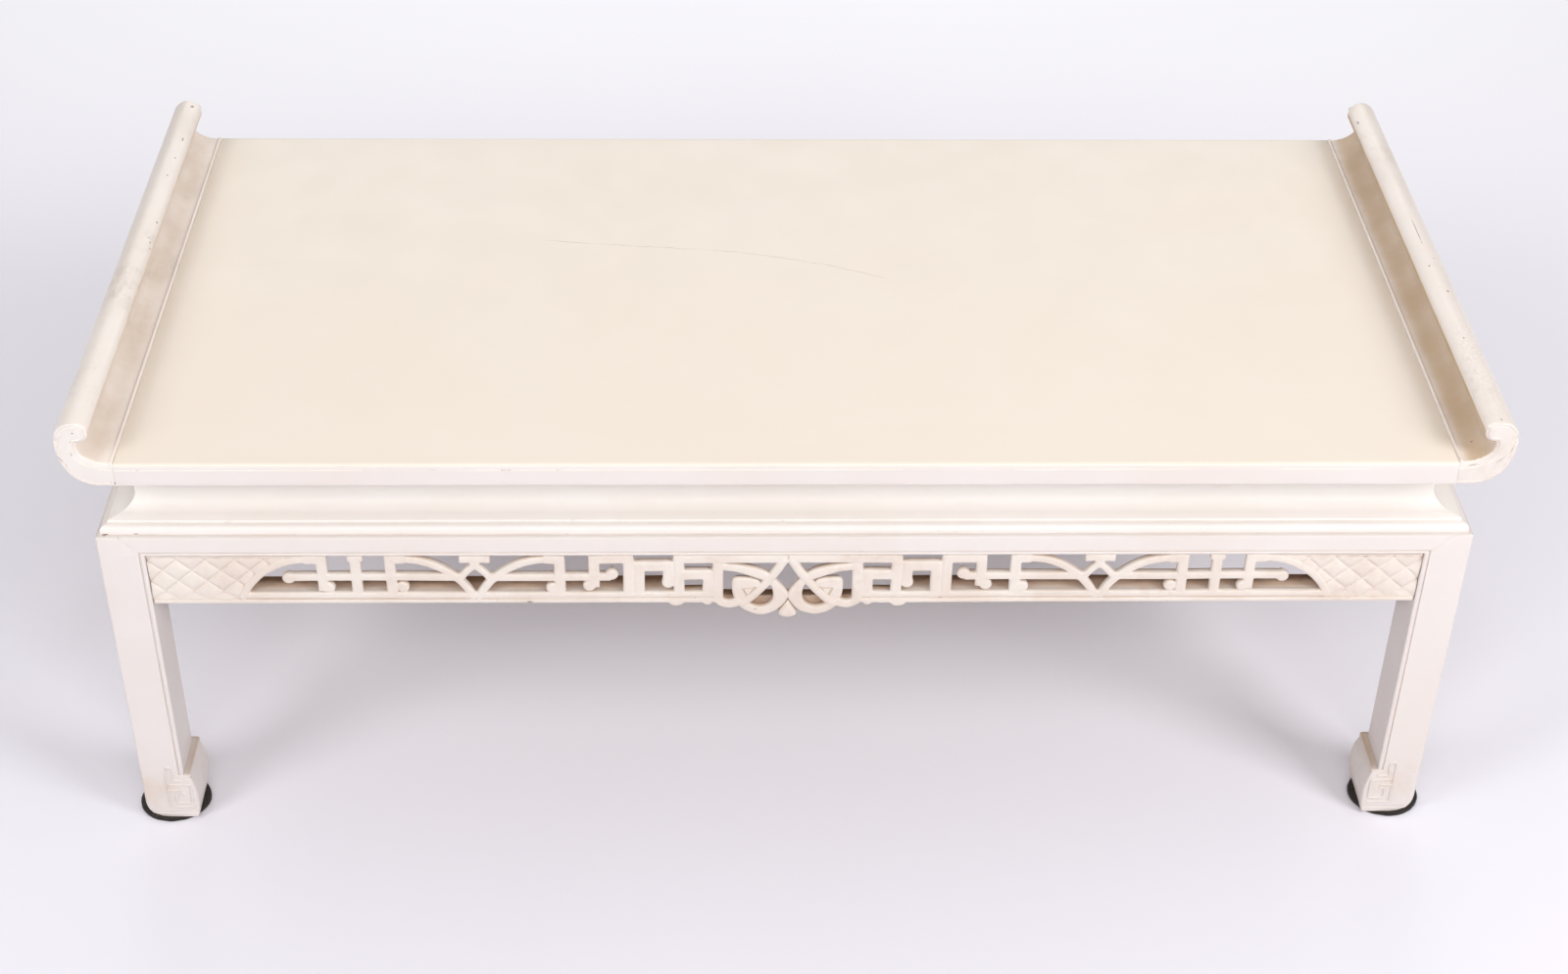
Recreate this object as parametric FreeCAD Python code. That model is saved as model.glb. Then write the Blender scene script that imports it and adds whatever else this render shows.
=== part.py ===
import FreeCAD, Part
import math
import os

# Low kang table with a raised scroll at each end, a coved waist, and pierced
# fretwork aprons between four square legs on hoof feet.
# Millimetres. X runs along the table, Y from front to back, Z up.
# The origin is on the floor under the middle of the table.

# Overall sizes
overall_length = 1220.0
board_depth = 567.4
board_top_height = 414.6
board_thickness = 21.3
scroll_width = 44.9
scroll_rise = 41.5

# Frame under the waist, set back from the ends and the front of the top
waist_rise = 60.3
frame_end_setback = 16.3
frame_front_setback = 6.4
rail_height = 20.5
rail_thickness = 26.0
frame_arris_radius = 2.5

# Legs and feet
leg_width = 40.0
leg_depth = 47.0
leg_arris_radius = 3.0
foot_ledge_height = 57.0
pad_thickness = 4.0
pad_radius = 33.5

# Clearances
tenon_clearance = 0.2
screw_clearance = 0.2
panel_gap = 1.2
overrun = 1.0

# Edge mouldings shared by rails and legs
bead_width = 4.0
quirk_width = 1.0
quirk_depth = 1.6
board_arris = 4.6
arris_steps = 2

# Places worked out from the sizes above
half_length = overall_length / 2
half_depth = board_depth / 2
half_board = half_length - scroll_width
board_underside = board_top_height - board_thickness
frame_top_height = board_underside - waist_rise
half_frame = half_length - frame_end_setback
half_frame_depth = half_depth - frame_front_setback
rail_underside = frame_top_height - rail_height
moulded_edge = bead_width + quirk_width

x_axis = FreeCAD.Vector(1, 0, 0)
y_axis = FreeCAD.Vector(0, 1, 0)
z_axis = FreeCAD.Vector(0, 0, 1)
centre = FreeCAD.Vector(0, 0, 0)

# Which way each side of the table is turned from the front
side_turns = {"front": 0.0, "right": 90.0, "back": 180.0, "left": 270.0}


# Small helpers
def on_yz(y, z):
    return FreeCAD.Vector(0, y, z)


def on_xz(x, z):
    return FreeCAD.Vector(x, 0, z)


def on_xy(x, y):
    return FreeCAD.Vector(x, y, 0)


def line(start, end):
    return Part.LineSegment(start, end).toShape()


def arc(start, middle, end):
    return Part.Arc(start, middle, end).toShape()


def quarter(start, corner, end):
    # A quarter turn from start to end that leans towards the corner
    hub = start + end - corner
    middle = hub + (corner - hub) * math.sin(math.pi / 4)
    return arc(start, middle, end)


def bend(start, end, first_radius):
    # Two tangent arcs in the XZ plane that leave start along +X and reach end along +Z
    gap_x = end.x - start.x - first_radius
    gap_z = end.z - start.z - first_radius
    turn = (math.atan(gap_z / gap_x) - math.pi / 4) * 2
    second_radius = first_radius + gap_x / (1 - math.sin(turn))
    first_hub = start + z_axis * first_radius
    second_hub = end - x_axis * second_radius

    def around(hub, radius, angle):
        return hub + on_xz(math.sin(angle), -math.cos(angle)) * radius

    meeting = around(first_hub, first_radius, turn)
    halfway = (turn + math.pi / 2) / 2
    return [arc(start, around(first_hub, first_radius, turn / 2), meeting),
            arc(meeting, around(second_hub, second_radius, halfway), end)]


def outline(points):
    return Part.Wire(Part.makePolygon(points + [points[0]]))


def prism(wire, reach):
    return Part.Face(wire).extrude(reach)


def block(x_start, x_end, y_start, y_end, z_start, z_end):
    corner = FreeCAD.Vector(x_start, y_start, z_start)
    return Part.makeBox(x_end - x_start, y_end - y_start, z_end - z_start, corner)


def join(shapes):
    first = shapes[0]
    if len(shapes) > 1:
        first = first.multiFuse(shapes[1:])
    return first.removeSplitter()


def cut(shape, cutters):
    return shape.cut(cutters).removeSplitter()


def flip_x(shape):
    return shape.mirror(centre, x_axis)


def flip_y(shape):
    return shape.mirror(centre, y_axis)


def face_distance(side):
    return half_frame_depth if side in ("front", "back") else half_frame


def half_run_of(side):
    return half_frame if side in ("front", "back") else half_frame_depth


def leg_share_of(side):
    # The leg's width as it is seen on this side of the table
    return leg_width if side in ("front", "back") else leg_depth


def place_on(side, shape):
    # Side pieces are drawn with the frame's face at y = 0 and +Y going inwards
    placed = shape.copy()
    placed.translate(FreeCAD.Vector(0, -face_distance(side), 0))
    placed.rotate(centre, z_axis, side_turns[side])
    return placed


def export(name, shape):
    shape.exportStep("parts/" + name + ".step")


# Top board
board_tongue_length = 12.0
board_tongue_thickness = 7.0
board_tongue_setback = 22.0


def arris_offsets():
    # Steps round the quarter-round arris: distance in from the face, drop from the top
    offsets = []
    for step in range(arris_steps + 1):
        turn = math.pi / 2 * step / arris_steps
        offsets.append((board_arris * (1 - math.sin(turn)), board_arris * (1 - math.cos(turn))))
    return offsets


def board_tongue(clearance):
    # Drawn at the right-hand end, running the depth of the table
    reach_y = half_depth - board_tongue_setback + clearance
    mid_height = board_underside + board_thickness / 2
    half_thickness = board_tongue_thickness / 2 + clearance
    return block(half_board - overrun, half_board + board_tongue_length + clearance,
                 -reach_y, reach_y, mid_height - half_thickness, mid_height + half_thickness)


def top_board():
    edge = []
    for inset, drop in arris_offsets():
        edge.append(on_yz(half_depth - inset, board_top_height - drop))
    points = [on_yz(half_depth, board_underside), on_yz(-half_depth, board_underside)]
    points += [on_yz(-p.y, p.z) for p in edge[::-1]]
    points += edge
    board = prism(outline(points), x_axis * (half_board * 2))
    board.translate(x_axis * -half_board)
    tongue = board_tongue(0)
    board = join([board, tongue, flip_x(tongue)])
    cutters = [batten_dovetail(x, tenon_clearance) for x in batten_places()]
    cutters += [place_on(side, waist_tongue(side, tenon_clearance)) for side in side_turns]
    return cut(board, cutters)


# Scroll ends
roll_radius = 16.6
scroll_flat = 12.0
scroll_curve_height = 40.7
joint_bead_width = 3.4
joint_bead_height = 1.6
trough_width = 24.6
trough_wall_rise = 17.4
curl_radius = 8.6
curl_centre_in = 3.0
curl_centre_up = 5.0
lip_angle = 42.0
curl_start_angle = 25.0
curl_end_angle = 12.0
outer_bend_radius = 31.0
trough_bend_radius = 32.0


def polar(middle, radius, degrees):
    # A point on a circle, measured from +X towards +Z
    turn = math.radians(degrees)
    return middle + on_xz(math.cos(turn), math.sin(turn)) * radius


def scroll_outline(inset):
    # Outline of the right-hand scroll end; only the upper edge moves in by the inset
    left = half_board
    right = half_length
    roll = on_xz(right - roll_radius, board_top_height + scroll_rise - roll_radius)
    curl = on_xz(roll.x - curl_centre_in, roll.z + curl_centre_up)
    radius = curl_radius - inset * curl_inset_share
    lip = polar(roll, roll_radius, 180 - lip_angle)
    curl_start = polar(curl, radius, 180 - curl_start_angle)
    curl_middle = polar(curl, radius, 180 + curl_start_angle)
    curl_end = polar(curl, radius, 270 + curl_end_angle)
    wall_x = left + joint_bead_width + trough_width + inset
    wall_top = on_xz(wall_x, board_top_height + trough_wall_rise)
    trough_z = board_top_height - inset
    bead_end = on_xz(left + joint_bead_width, trough_z)
    bead_top = on_xz(left + joint_bead_width / 2, trough_z + joint_bead_height)
    bead_start = on_xz(left, trough_z)
    foot = on_xz(left, board_underside)
    flat_end = on_xz(left + scroll_flat, board_underside)
    curve_end = on_xz(right, board_underside + scroll_curve_height)
    outer = bend(flat_end, curve_end, outer_bend_radius)
    trough = bend(bead_end, wall_top, trough_bend_radius)
    return Part.Wire([
        line(foot, flat_end),
        outer[0],
        outer[1],
        line(curve_end, on_xz(right, roll.z)),
        arc(on_xz(right, roll.z), polar(roll, roll_radius, 90 - lip_angle / 2), lip),
        line(lip, curl_start),
        arc(curl_start, curl_middle, curl_end),
        line(curl_end, wall_top),
        trough[1],
        trough[0],
        arc(bead_end, bead_top, bead_start),
        line(bead_start, foot),
    ])


# The curl's tip keeps part of its size where the arris is rounded over
curl_inset_share = 0.6


def scroll_end_right():
    sections = []
    for inset, drop in arris_offsets():
        section = scroll_outline(drop)
        section.translate(y_axis * -(half_depth - inset))
        sections.append(section)
    cap = Part.makeLoft(sections[::-1], True, True)
    body_depth = board_depth - board_arris * 2
    body = prism(scroll_outline(0), y_axis * body_depth)
    body.translate(y_axis * (-body_depth / 2))
    scroll = join([body, cap, flip_y(cap)])
    return cut(scroll, [board_tongue(tenon_clearance)])


# Battens under the board, let in with dovetails
batten_width = 50.0
batten_thickness = 22.0
batten_place_share = 0.584
dovetail_neck = 34.0
dovetail_head = 40.0
dovetail_height = 7.0
batten_tenon_length = 8.0
batten_tenon_width = 30.0
batten_tenon_thickness = 10.0

# Waist and its foot moulding, as insets from the frame's face and heights on its top
moulding_inset = 4.5
moulding_quad = 3.0
moulding_torus_inset = 9.5
moulding_torus_rise = 8.3
moulding_height = 8.7
waist_foot_inset = 10.7
waist_fillet = 2.0
waist_slope = 1.3
waist_inset = 32.5
cove_radius = 15.0
waist_wall = 14.0
waist_tongue_thickness = 5.0
waist_tongue_height = 6.0
waist_back = waist_inset + waist_wall
moulding_top = frame_top_height + moulding_height


def batten_places():
    spacing = half_board * batten_place_share
    return [-spacing, 0, spacing]


def batten_reach():
    return half_frame_depth - waist_back


def batten_dovetail(x, clearance):
    neck = dovetail_neck / 2 + clearance
    head = dovetail_head / 2 + clearance
    top = board_underside + dovetail_height + clearance
    half = batten_reach() + clearance
    points = [on_xz(x - neck, board_underside - clearance), on_xz(x + neck, board_underside - clearance),
              on_xz(x + head, top), on_xz(x - head, top)]
    slot = prism(outline(points), y_axis * (half * 2))
    slot.translate(y_axis * -half)
    return slot


def batten_tenons(x, clearance):
    reach = batten_reach() + batten_tenon_length + clearance
    middle = board_underside - batten_thickness / 2
    half_width = batten_tenon_width / 2 + clearance
    half_thickness = batten_tenon_thickness / 2 + clearance
    return block(x - half_width, x + half_width, -reach, reach,
                 middle - half_thickness, middle + half_thickness)


def batten(x):
    half = batten_reach()
    bar = block(x - batten_width / 2, x + batten_width / 2, -half, half,
                board_underside - batten_thickness, board_underside)
    return join([bar, batten_dovetail(x, 0), batten_tenons(x, 0)])


def mitred_run(profile, half_run):
    # A moulding along one side, cut at 45 degrees where it meets its neighbours
    run = prism(profile, x_axis * (half_run * 2))
    run.translate(x_axis * -half_run)
    inner = half_run - waist_back
    points = [on_xy(-half_run, 0), on_xy(half_run, 0), on_xy(inner, waist_back), on_xy(-inner, waist_back)]
    wedge = prism(outline(points), z_axis * board_top_height)
    return run.common(wedge)


def waist_tongue(side, clearance):
    # A tongue on the waist's top edge, let into the board
    start = waist_inset + (waist_wall - waist_tongue_thickness) / 2 - clearance
    end = start + waist_tongue_thickness + clearance * 2
    half = half_run_of(side) - waist_back
    return block(-half, half, start, end, board_underside - overrun,
                 board_underside + waist_tongue_height + clearance)


def waist(side):
    foot = moulding_top
    lip = foot + waist_fillet
    cove_foot = on_yz(waist_inset - cove_radius, lip + waist_slope)
    cove_centre = on_yz(cove_foot.y, cove_foot.z + cove_radius)
    turn = math.pi / 4
    cove_middle = cove_centre + on_yz(math.sin(turn), -math.cos(turn)) * cove_radius
    cove_top = on_yz(waist_inset, cove_centre.z)
    profile = Part.Wire([
        line(on_yz(waist_foot_inset, foot), on_yz(waist_foot_inset, lip)),
        line(on_yz(waist_foot_inset, lip), cove_foot),
        arc(cove_foot, cove_middle, cove_top),
        line(cove_top, on_yz(waist_inset, board_underside)),
        line(on_yz(waist_inset, board_underside), on_yz(waist_back, board_underside)),
        line(on_yz(waist_back, board_underside), on_yz(waist_back, foot)),
        line(on_yz(waist_back, foot), on_yz(waist_foot_inset, foot)),
    ])
    run = join([mitred_run(profile, half_run_of(side)), waist_tongue(side, 0)])
    placed = place_on(side, run)
    cutters = fixing_screw_holes()
    if side in ("front", "back"):
        cutters += [batten_tenons(x, tenon_clearance) for x in batten_places()]
    return cut(placed, cutters)


def waist_moulding(side):
    torus_top = on_yz(moulding_torus_inset, frame_top_height + moulding_torus_rise)
    torus_foot = on_yz(moulding_inset, frame_top_height + moulding_quad)
    corner = on_yz(moulding_inset, frame_top_height + moulding_torus_rise)
    step = on_yz(waist_foot_inset, moulding_top)
    profile = Part.Wire([
        line(on_yz(moulding_inset, frame_top_height), torus_foot),
        quarter(torus_foot, corner, torus_top),
        line(torus_top, step),
        line(step, on_yz(waist_back, moulding_top)),
        line(on_yz(waist_back, moulding_top), on_yz(waist_back, frame_top_height)),
        line(on_yz(waist_back, frame_top_height), on_yz(moulding_inset, frame_top_height)),
    ])
    run = place_on(side, mitred_run(profile, half_run_of(side)))
    return cut(run, fixing_screw_holes() + leg_top_tenons(tenon_clearance))


# Apron rails
mitre_depth = 12.0
rail_tenon_length = 20.0
rail_tenon_thickness = 8.0
rail_tenon_height = 12.0
rail_tenon_inset = 15.0


def rail_section():
    # Top arris rounded, quirk and bead along the lower edge
    quirk_top = rail_underside + moulded_edge
    bead_top = rail_underside + bead_width
    arris_start = frame_top_height - frame_arris_radius
    arris_corner = on_yz(0, frame_top_height)
    return Part.Wire([
        arc(on_yz(quirk_depth, rail_underside), on_yz(0, rail_underside + bead_width / 2),
            on_yz(quirk_depth, bead_top)),
        line(on_yz(quirk_depth, bead_top), on_yz(quirk_depth, quirk_top)),
        line(on_yz(quirk_depth, quirk_top), on_yz(0, quirk_top)),
        line(on_yz(0, quirk_top), on_yz(0, arris_start)),
        quarter(on_yz(0, arris_start), arris_corner, on_yz(frame_arris_radius, frame_top_height)),
        line(on_yz(frame_arris_radius, frame_top_height), on_yz(rail_thickness, frame_top_height)),
        line(on_yz(rail_thickness, frame_top_height), on_yz(rail_thickness, rail_underside)),
        line(on_yz(rail_thickness, rail_underside), on_yz(quirk_depth, rail_underside)),
    ])


def inner_half_of(side):
    # From the middle of a side to the inner face of its legs
    return half_run_of(side) - leg_share_of(side)


def rail_mitres(side):
    # The front of the rail runs over the legs to a 45 degree mitre
    inner = inner_half_of(side)
    outer = inner + rail_height
    run = prism(rail_section(), x_axis * (outer * 2))
    run.translate(x_axis * -outer)
    points = [on_xz(-outer, frame_top_height), on_xz(outer, frame_top_height),
              on_xz(inner, rail_underside), on_xz(-inner, rail_underside)]
    wedge = prism(outline(points), y_axis * mitre_depth)
    return run.common(wedge)


def rail_mitre_room(side):
    # The plain wedge that the leg gives up to the rail's mitre
    inner = inner_half_of(side)
    outer = inner + rail_height + overrun
    points = [on_xz(-outer, frame_top_height + overrun), on_xz(outer, frame_top_height + overrun),
              on_xz(inner, rail_underside), on_xz(-inner, rail_underside)]
    wedge = prism(outline(points), y_axis * (mitre_depth + overrun))
    wedge.translate(y_axis * -overrun)
    return wedge


def rail_tenons(side, clearance):
    reach = inner_half_of(side) + rail_tenon_length + clearance
    start = rail_tenon_inset - clearance
    end = rail_tenon_inset + rail_tenon_thickness + clearance
    middle = rail_underside + rail_height / 2
    half_height = rail_tenon_height / 2 + clearance
    return block(-reach, reach, start, end, middle - half_height, middle + half_height)


def rail(side):
    inner = inner_half_of(side)
    run = prism(rail_section(), x_axis * (inner * 2))
    run.translate(x_axis * -inner)
    joined = join([run, rail_mitres(side), rail_tenons(side, 0)])
    return place_on(side, cut(joined, [fret_top_tongue(side, tenon_clearance)]))


# Fretwork panels
fret_height = 53.4
fret_setback = 1.5
fret_depth = 12.0
fret_sill_depth = 24.0
fret_tongue_inset = 5.0
fret_tongue_thickness = 5.0
fret_tongue_height = 6.0
fret_tenon_length = 9.0
fret_tenon_thickness = 8.0
fret_tenon_height = 8.0
bar_width = 9.6
rod_width = 8.0
top_width = 7.6
bow_width = 7.6
strap_width = 8.6
sill_width = 6.8
bead_rod_width = 5.0
sill_groove_width = 0.8
sill_groove_depth = 1.6
yoke_width = 6.6
wide_rod_width = 10.8
field_recess = 1.0
heart_recess = 0.8
fill_recess = 3.4
pendant_radius = 7.3
knob_radius = 5.6
small_knob_radius = 4.2
knob_sides = 8
bow_sides = 5
fret_top = rail_underside - panel_gap
fret_bottom = fret_top - fret_height

# Places on the panel. Heights are shares of the panel's height from its lower edge.
# Places along it are shares of its half length in the side patterns, and shares of
# its height in the middle motif, which is the same on long and short panels.
bead_height_share = 0.052
middle_height_share = 0.55
top_height_share = 0.929
bow_foot_share = 0.16
bow_middle_share = 0.665

# Long panels: upright bars as place along, foot and head
long_bar_shares = (
    (0.730, 0.30, 1.00),
    (0.677, 0.17, 1.00),
    (0.623, 0.17, 1.00),
    (0.359, 0.17, 1.00),
    (0.305, 0.34, 1.00),
    (0.2506, 0.17, 1.00),
    (0.2338, 0.17, 0.866),
    (0.1716, 0.17, 1.00),
    (0.1885, 0.42, 0.866),
    (0.1263, 0.17, 0.686),
)
# Long panels: level rods as start, end and height
long_rod_shares = (
    (0.515, 0.784, 0.55),
    (0.279, 0.468, 0.55),
)
long_top_shares = ((0.730, 0.757), (0.600, 0.623), (0.359, 0.383), (0.2506, 0.305), (0.0, 0.1716))
long_wide_shares = ((0.1885, 0.2338, 0.765), (0.1263, 0.1716, 0.585))
# Long panels: bows as foot, middle and head along the panel
long_bow_shares = ((0.860, 0.822, 0.757), (0.497, 0.535, 0.600), (0.486, 0.448, 0.383))
# Long panels: rounded tips as place along and height
long_knob_shares = ((0.722, 0.35), (0.371, 0.33), (0.313, 0.37), (0.784, 0.53), (0.277, 0.60),
                    (0.1885, 0.42))
long_small_knob_shares = ((0.1765, 0.013),)
long_cap_shares = ((0.6645, 0.6895, 0.938),)
yoke_place_share = 0.4915
yoke_half_share = 0.0215
yoke_head_share = 0.94
yoke_neck_share = 0.86
yoke_bend_share = 0.0155
yoke_bend_height_share = 0.73
yoke_foot_share = 0.0285

# Short panels
short_bar_shares = ((0.384, 0.30, 1.00),)
short_rod_shares = ((0.29, 0.520, 0.55),)
short_top_shares = ((0.0, 0.406),)
short_bow_shares = ((0.655, 0.565, 0.406),)
short_knob_shares = ((0.520, 0.53), (0.372, 0.34))
short_small_knob_shares = ()

# Middle motif, both places as shares of the panel's height
knot_bar_shares = (1.142, 0.06, 0.866)
knot_shares = (
    ((1.142, 0.785), (0.749, 0.735), (0.281, 0.50)),
    ((0.281, 0.50), (0.165, 0.187), (0.262, -0.10)),
    ((0.262, -0.10), (0.468, -0.165), (0.705, -0.05)),
    ((0.037, 0.94), (0.326, 0.47), (0.712, 0.02)),
    ((0.36, 0.47), (0.80, 0.385), (0.765, 0.03)),
    ((1.142, 0.07), (0.998, -0.012), (0.82, 0.03)),
)
knot_knob_shares = ((0.281, 0.50), (0.262, -0.10), (0.745, 0.0))
knot_fill_shares = ((0.35, 0.46), (0.70, 0.47), (0.80, 0.30), (0.78, 0.10), (0.72, 0.03), (0.52, 0.22))
heart_shares = ((0.0, 0.255), (0.07, 0.18), (0.16, 0.03), (0.15, -0.05), (-0.15, -0.05), (-0.16, 0.03),
                (-0.07, 0.18))
pendant_centre_share = -0.155
pendant_point_share = 0.077


def straight(start, end, width):
    # A straight rod of the panel
    along = (end - start).normalize()
    across = on_xz(-along.z, along.x) * (width / 2)
    return plate(outline([start + across, end + across, end - across, start - across]), 0)


def bow(start, middle, end, width):
    # A rod bent to the arc through three points, in a few straight lengths because there are many
    circle = Part.Arc(start, middle, end).toShape().Curve
    hub = circle.Center
    angles = [math.atan2(p.z - hub.z, p.x - hub.x) for p in (start, middle, end)]
    full = math.pi * 2
    sweep = (angles[2] - angles[0]) % full
    if (angles[1] - angles[0]) % full > sweep:
        sweep -= full
    outer = []
    inner = []
    for step in range(bow_sides + 1):
        turn = angles[0] + sweep * step / bow_sides
        outward = on_xz(math.cos(turn), math.sin(turn))
        outer.append(hub + outward * (circle.Radius + width / 2))
        inner.append(hub + outward * (circle.Radius - width / 2))
    return plate(outline(outer + inner[::-1]), 0)


def knob(place, radius):
    # A rounded tip on the end of a rod, with few sides because there are many of them
    rim = [polar(place, radius, 360 * side / knob_sides) for side in range(knob_sides)]
    return plate(outline(rim), 0)


def plate(wire, recess):
    # A flat field set behind the faces of the rods
    sheet = prism(wire, y_axis * (fret_depth - recess))
    sheet.translate(y_axis * (fret_setback + recess))
    return sheet


def fret_half_run(side):
    return inner_half_of(side) - panel_gap


def fret_height_at(height_share):
    return fret_bottom + fret_height * height_share


def side_pattern(half_run, bars, rods, tops, bows, knobs, small_knobs):
    def at(along, height):
        return on_xz(half_run * along, fret_height_at(height))

    members = []
    for along, foot, head in bars:
        members.append(straight(at(along, foot), at(along, head), bar_width))
    for start, end, height in rods:
        members.append(straight(at(start, height), at(end, height), rod_width))
    for start, end in tops:
        members.append(straight(at(start, top_height_share), at(end, top_height_share), top_width))
    for foot, middle, head in bows:
        members.append(bow(at(foot, bow_foot_share), at(middle, bow_middle_share),
                           at(head, top_height_share), bow_width))
    for along, height in knobs:
        members.append(knob(at(along, height), knob_radius))
    for along, height in small_knobs:
        members.append(knob(at(along, height), small_knob_radius))
    # The end field fills the panel from its end to the outermost bow
    foot, middle, head = bows[0]
    field = Part.Wire([
        line(at(1, bead_height_share), at(1, 1)),
        line(at(1, 1), at(head, 1)),
        line(at(head, 1), at(head, top_height_share)),
        arc(at(head, top_height_share), at(middle, bow_middle_share), at(foot, bow_foot_share)),
        line(at(foot, bow_foot_share), at(foot, bead_height_share)),
        line(at(foot, bead_height_share), at(1, bead_height_share)),
    ])
    members.append(plate(field, field_recess))
    return members


def yoke(half_run):
    # The forked stay between the second and third bows
    def at(along, height):
        return on_xz(half_run * along, fret_height_at(height))

    left = yoke_place_share - yoke_half_share
    right = yoke_place_share + yoke_half_share
    members = [straight(at(left, yoke_head_share), at(right, yoke_head_share), yoke_width)]
    for way in (-1, 1):
        members.append(bow(at(yoke_place_share, yoke_neck_share),
                           at(yoke_place_share + yoke_bend_share * way, yoke_bend_height_share),
                           at(yoke_place_share + yoke_foot_share * way, middle_height_share), yoke_width))
    return members


def middle_knot():
    # Half of the looped knot in the middle of every panel
    def at(along, height):
        return on_xz(fret_height * along, fret_height_at(height))

    along, foot, head = knot_bar_shares
    members = [straight(at(along, foot), at(along, head), bar_width)]
    for start, middle, end in knot_shares:
        members.append(bow(at(*start), at(*middle), at(*end), strap_width))
    for place in knot_knob_shares:
        members.append(knob(at(*place), strap_width / 2))
    fill = outline([at(*place) for place in knot_fill_shares])
    members.append(plate(fill, fill_recess))
    return members


def pendant():
    # The drop under the knot and the field that ties both halves together
    heart = outline([on_xz(fret_height * x, fret_height_at(z)) for x, z in heart_shares])
    middle = on_xz(0, fret_height_at(pendant_centre_share))
    point = on_xz(0, fret_height_at(pendant_point_share))
    turn = math.degrees(math.asin(pendant_radius / (point.z - middle.z)))
    left = polar(middle, pendant_radius, 180 - turn)
    right = polar(middle, pendant_radius, turn)
    bottom = polar(middle, pendant_radius, 270)
    drop = Part.Wire([line(point, left), arc(left, bottom, right), line(right, point)])
    return [plate(heart, heart_recess), plate(drop, 0)]


def bead_middle():
    return fret_height_at(bead_height_share)


def sill_middle():
    return bead_middle() + bead_rod_width / 2 + sill_groove_width + sill_width / 2


def fret_sill(side, bow_foot_place):
    # Lower rail with its bead, deeper than the rods above and with a groove between the two.
    # Past the outermost bow only the bead goes on, in front of the end field.
    start = fret_height * knot_bar_shares[0]
    end = fret_half_run(side)
    foot = end * bow_foot_place
    face = fret_setback
    back = face + fret_sill_depth
    groove = face + sill_groove_depth
    bead_low = bead_middle() - bead_rod_width / 2
    bead_high = bead_middle() + bead_rod_width / 2
    sill_low = sill_middle() - sill_width / 2
    sill_high = sill_middle() + sill_width / 2
    section = [on_yz(back, bead_low), on_yz(face, bead_low), on_yz(face, bead_high), on_yz(groove, bead_high),
               on_yz(groove, sill_low), on_yz(face, sill_low), on_yz(face, sill_high), on_yz(back, sill_high)]
    sill = prism(outline(section), x_axis * (foot - start))
    sill.translate(x_axis * start)
    return [sill, block(foot, end, face, back, bead_low, bead_high),
            block(foot, end, face + field_recess, back, bead_low, sill_high)]


def fret_top_tongue(side, clearance):
    half = fret_half_run(side) + clearance
    start = fret_setback + fret_tongue_inset - clearance
    end = start + fret_tongue_thickness + clearance * 2
    return block(-half, half, start, end, fret_top - clearance,
                 rail_underside + fret_tongue_height + clearance)


def fret_end_tenons(side, clearance):
    # Drawn at the right-hand end of the sill
    half_run = fret_half_run(side)
    start = fret_setback + fret_tongue_inset - clearance
    end = start + fret_tenon_thickness + clearance * 2
    middle = sill_middle() - (sill_width - fret_tenon_height) / 2
    half_height = fret_tenon_height / 2 + clearance
    return block(half_run - overrun, half_run + fret_tenon_length + clearance, start, end,
                 middle - half_height, middle + half_height)


def fretwork(side):
    half_run = fret_half_run(side)
    if side in ("front", "back"):
        members = side_pattern(half_run, long_bar_shares, long_rod_shares, long_top_shares,
                               long_bow_shares, long_knob_shares, long_small_knob_shares)
        members += yoke(half_run)
        for table, width in ((long_wide_shares, wide_rod_width), (long_cap_shares, yoke_width)):
            for start, end, height in table:
                z = fret_height_at(height)
                members.append(straight(on_xz(half_run * start, z), on_xz(half_run * end, z), width))
    else:
        members = side_pattern(half_run, short_bar_shares, short_rod_shares, short_top_shares,
                               short_bow_shares, short_knob_shares, short_small_knob_shares)
    bows = long_bow_shares if side in ("front", "back") else short_bow_shares
    members += middle_knot()
    members += fret_sill(side, bows[0][0])
    members.append(fret_end_tenons(side, 0))
    half = join(members)
    return join([half, flip_x(half), fret_top_tongue(side, 0)] + pendant())


# Legs
foot_swell = 9.0
foot_swell_height = 32.0
foot_toe_in = 3.0
foot_heel_rise = 11.0
foot_heel_in = 6.0
cuff_swell = 5.0
cuff_height = 4.0
leg_tenon_size = 14.0
leg_tenon_height = 7.0
leg_tenon_inset = 22.0
head_chamfer = 1.5


def leg_section():
    # Plan of the front left leg, with x and y measured in from its two outer faces
    width = leg_width
    depth = leg_depth
    arris = leg_arris_radius
    bead_x = width - bead_width
    bead_y = depth - bead_width
    return Part.Wire([
        quarter(on_xy(0, arris), on_xy(0, 0), on_xy(arris, 0)),
        line(on_xy(arris, 0), on_xy(width - moulded_edge, 0)),
        line(on_xy(width - moulded_edge, 0), on_xy(width - moulded_edge, quirk_depth)),
        line(on_xy(width - moulded_edge, quirk_depth), on_xy(bead_x, quirk_depth)),
        arc(on_xy(bead_x, quirk_depth), on_xy(width - bead_width / 2, 0), on_xy(width, quirk_depth)),
        line(on_xy(width, quirk_depth), on_xy(width, depth)),
        line(on_xy(width, depth), on_xy(quirk_depth, depth)),
        arc(on_xy(quirk_depth, depth), on_xy(0, depth - bead_width / 2), on_xy(quirk_depth, bead_y)),
        line(on_xy(quirk_depth, bead_y), on_xy(quirk_depth, depth - moulded_edge)),
        line(on_xy(quirk_depth, depth - moulded_edge), on_xy(0, depth - moulded_edge)),
        line(on_xy(0, depth - moulded_edge), on_xy(0, arris)),
    ])


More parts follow.
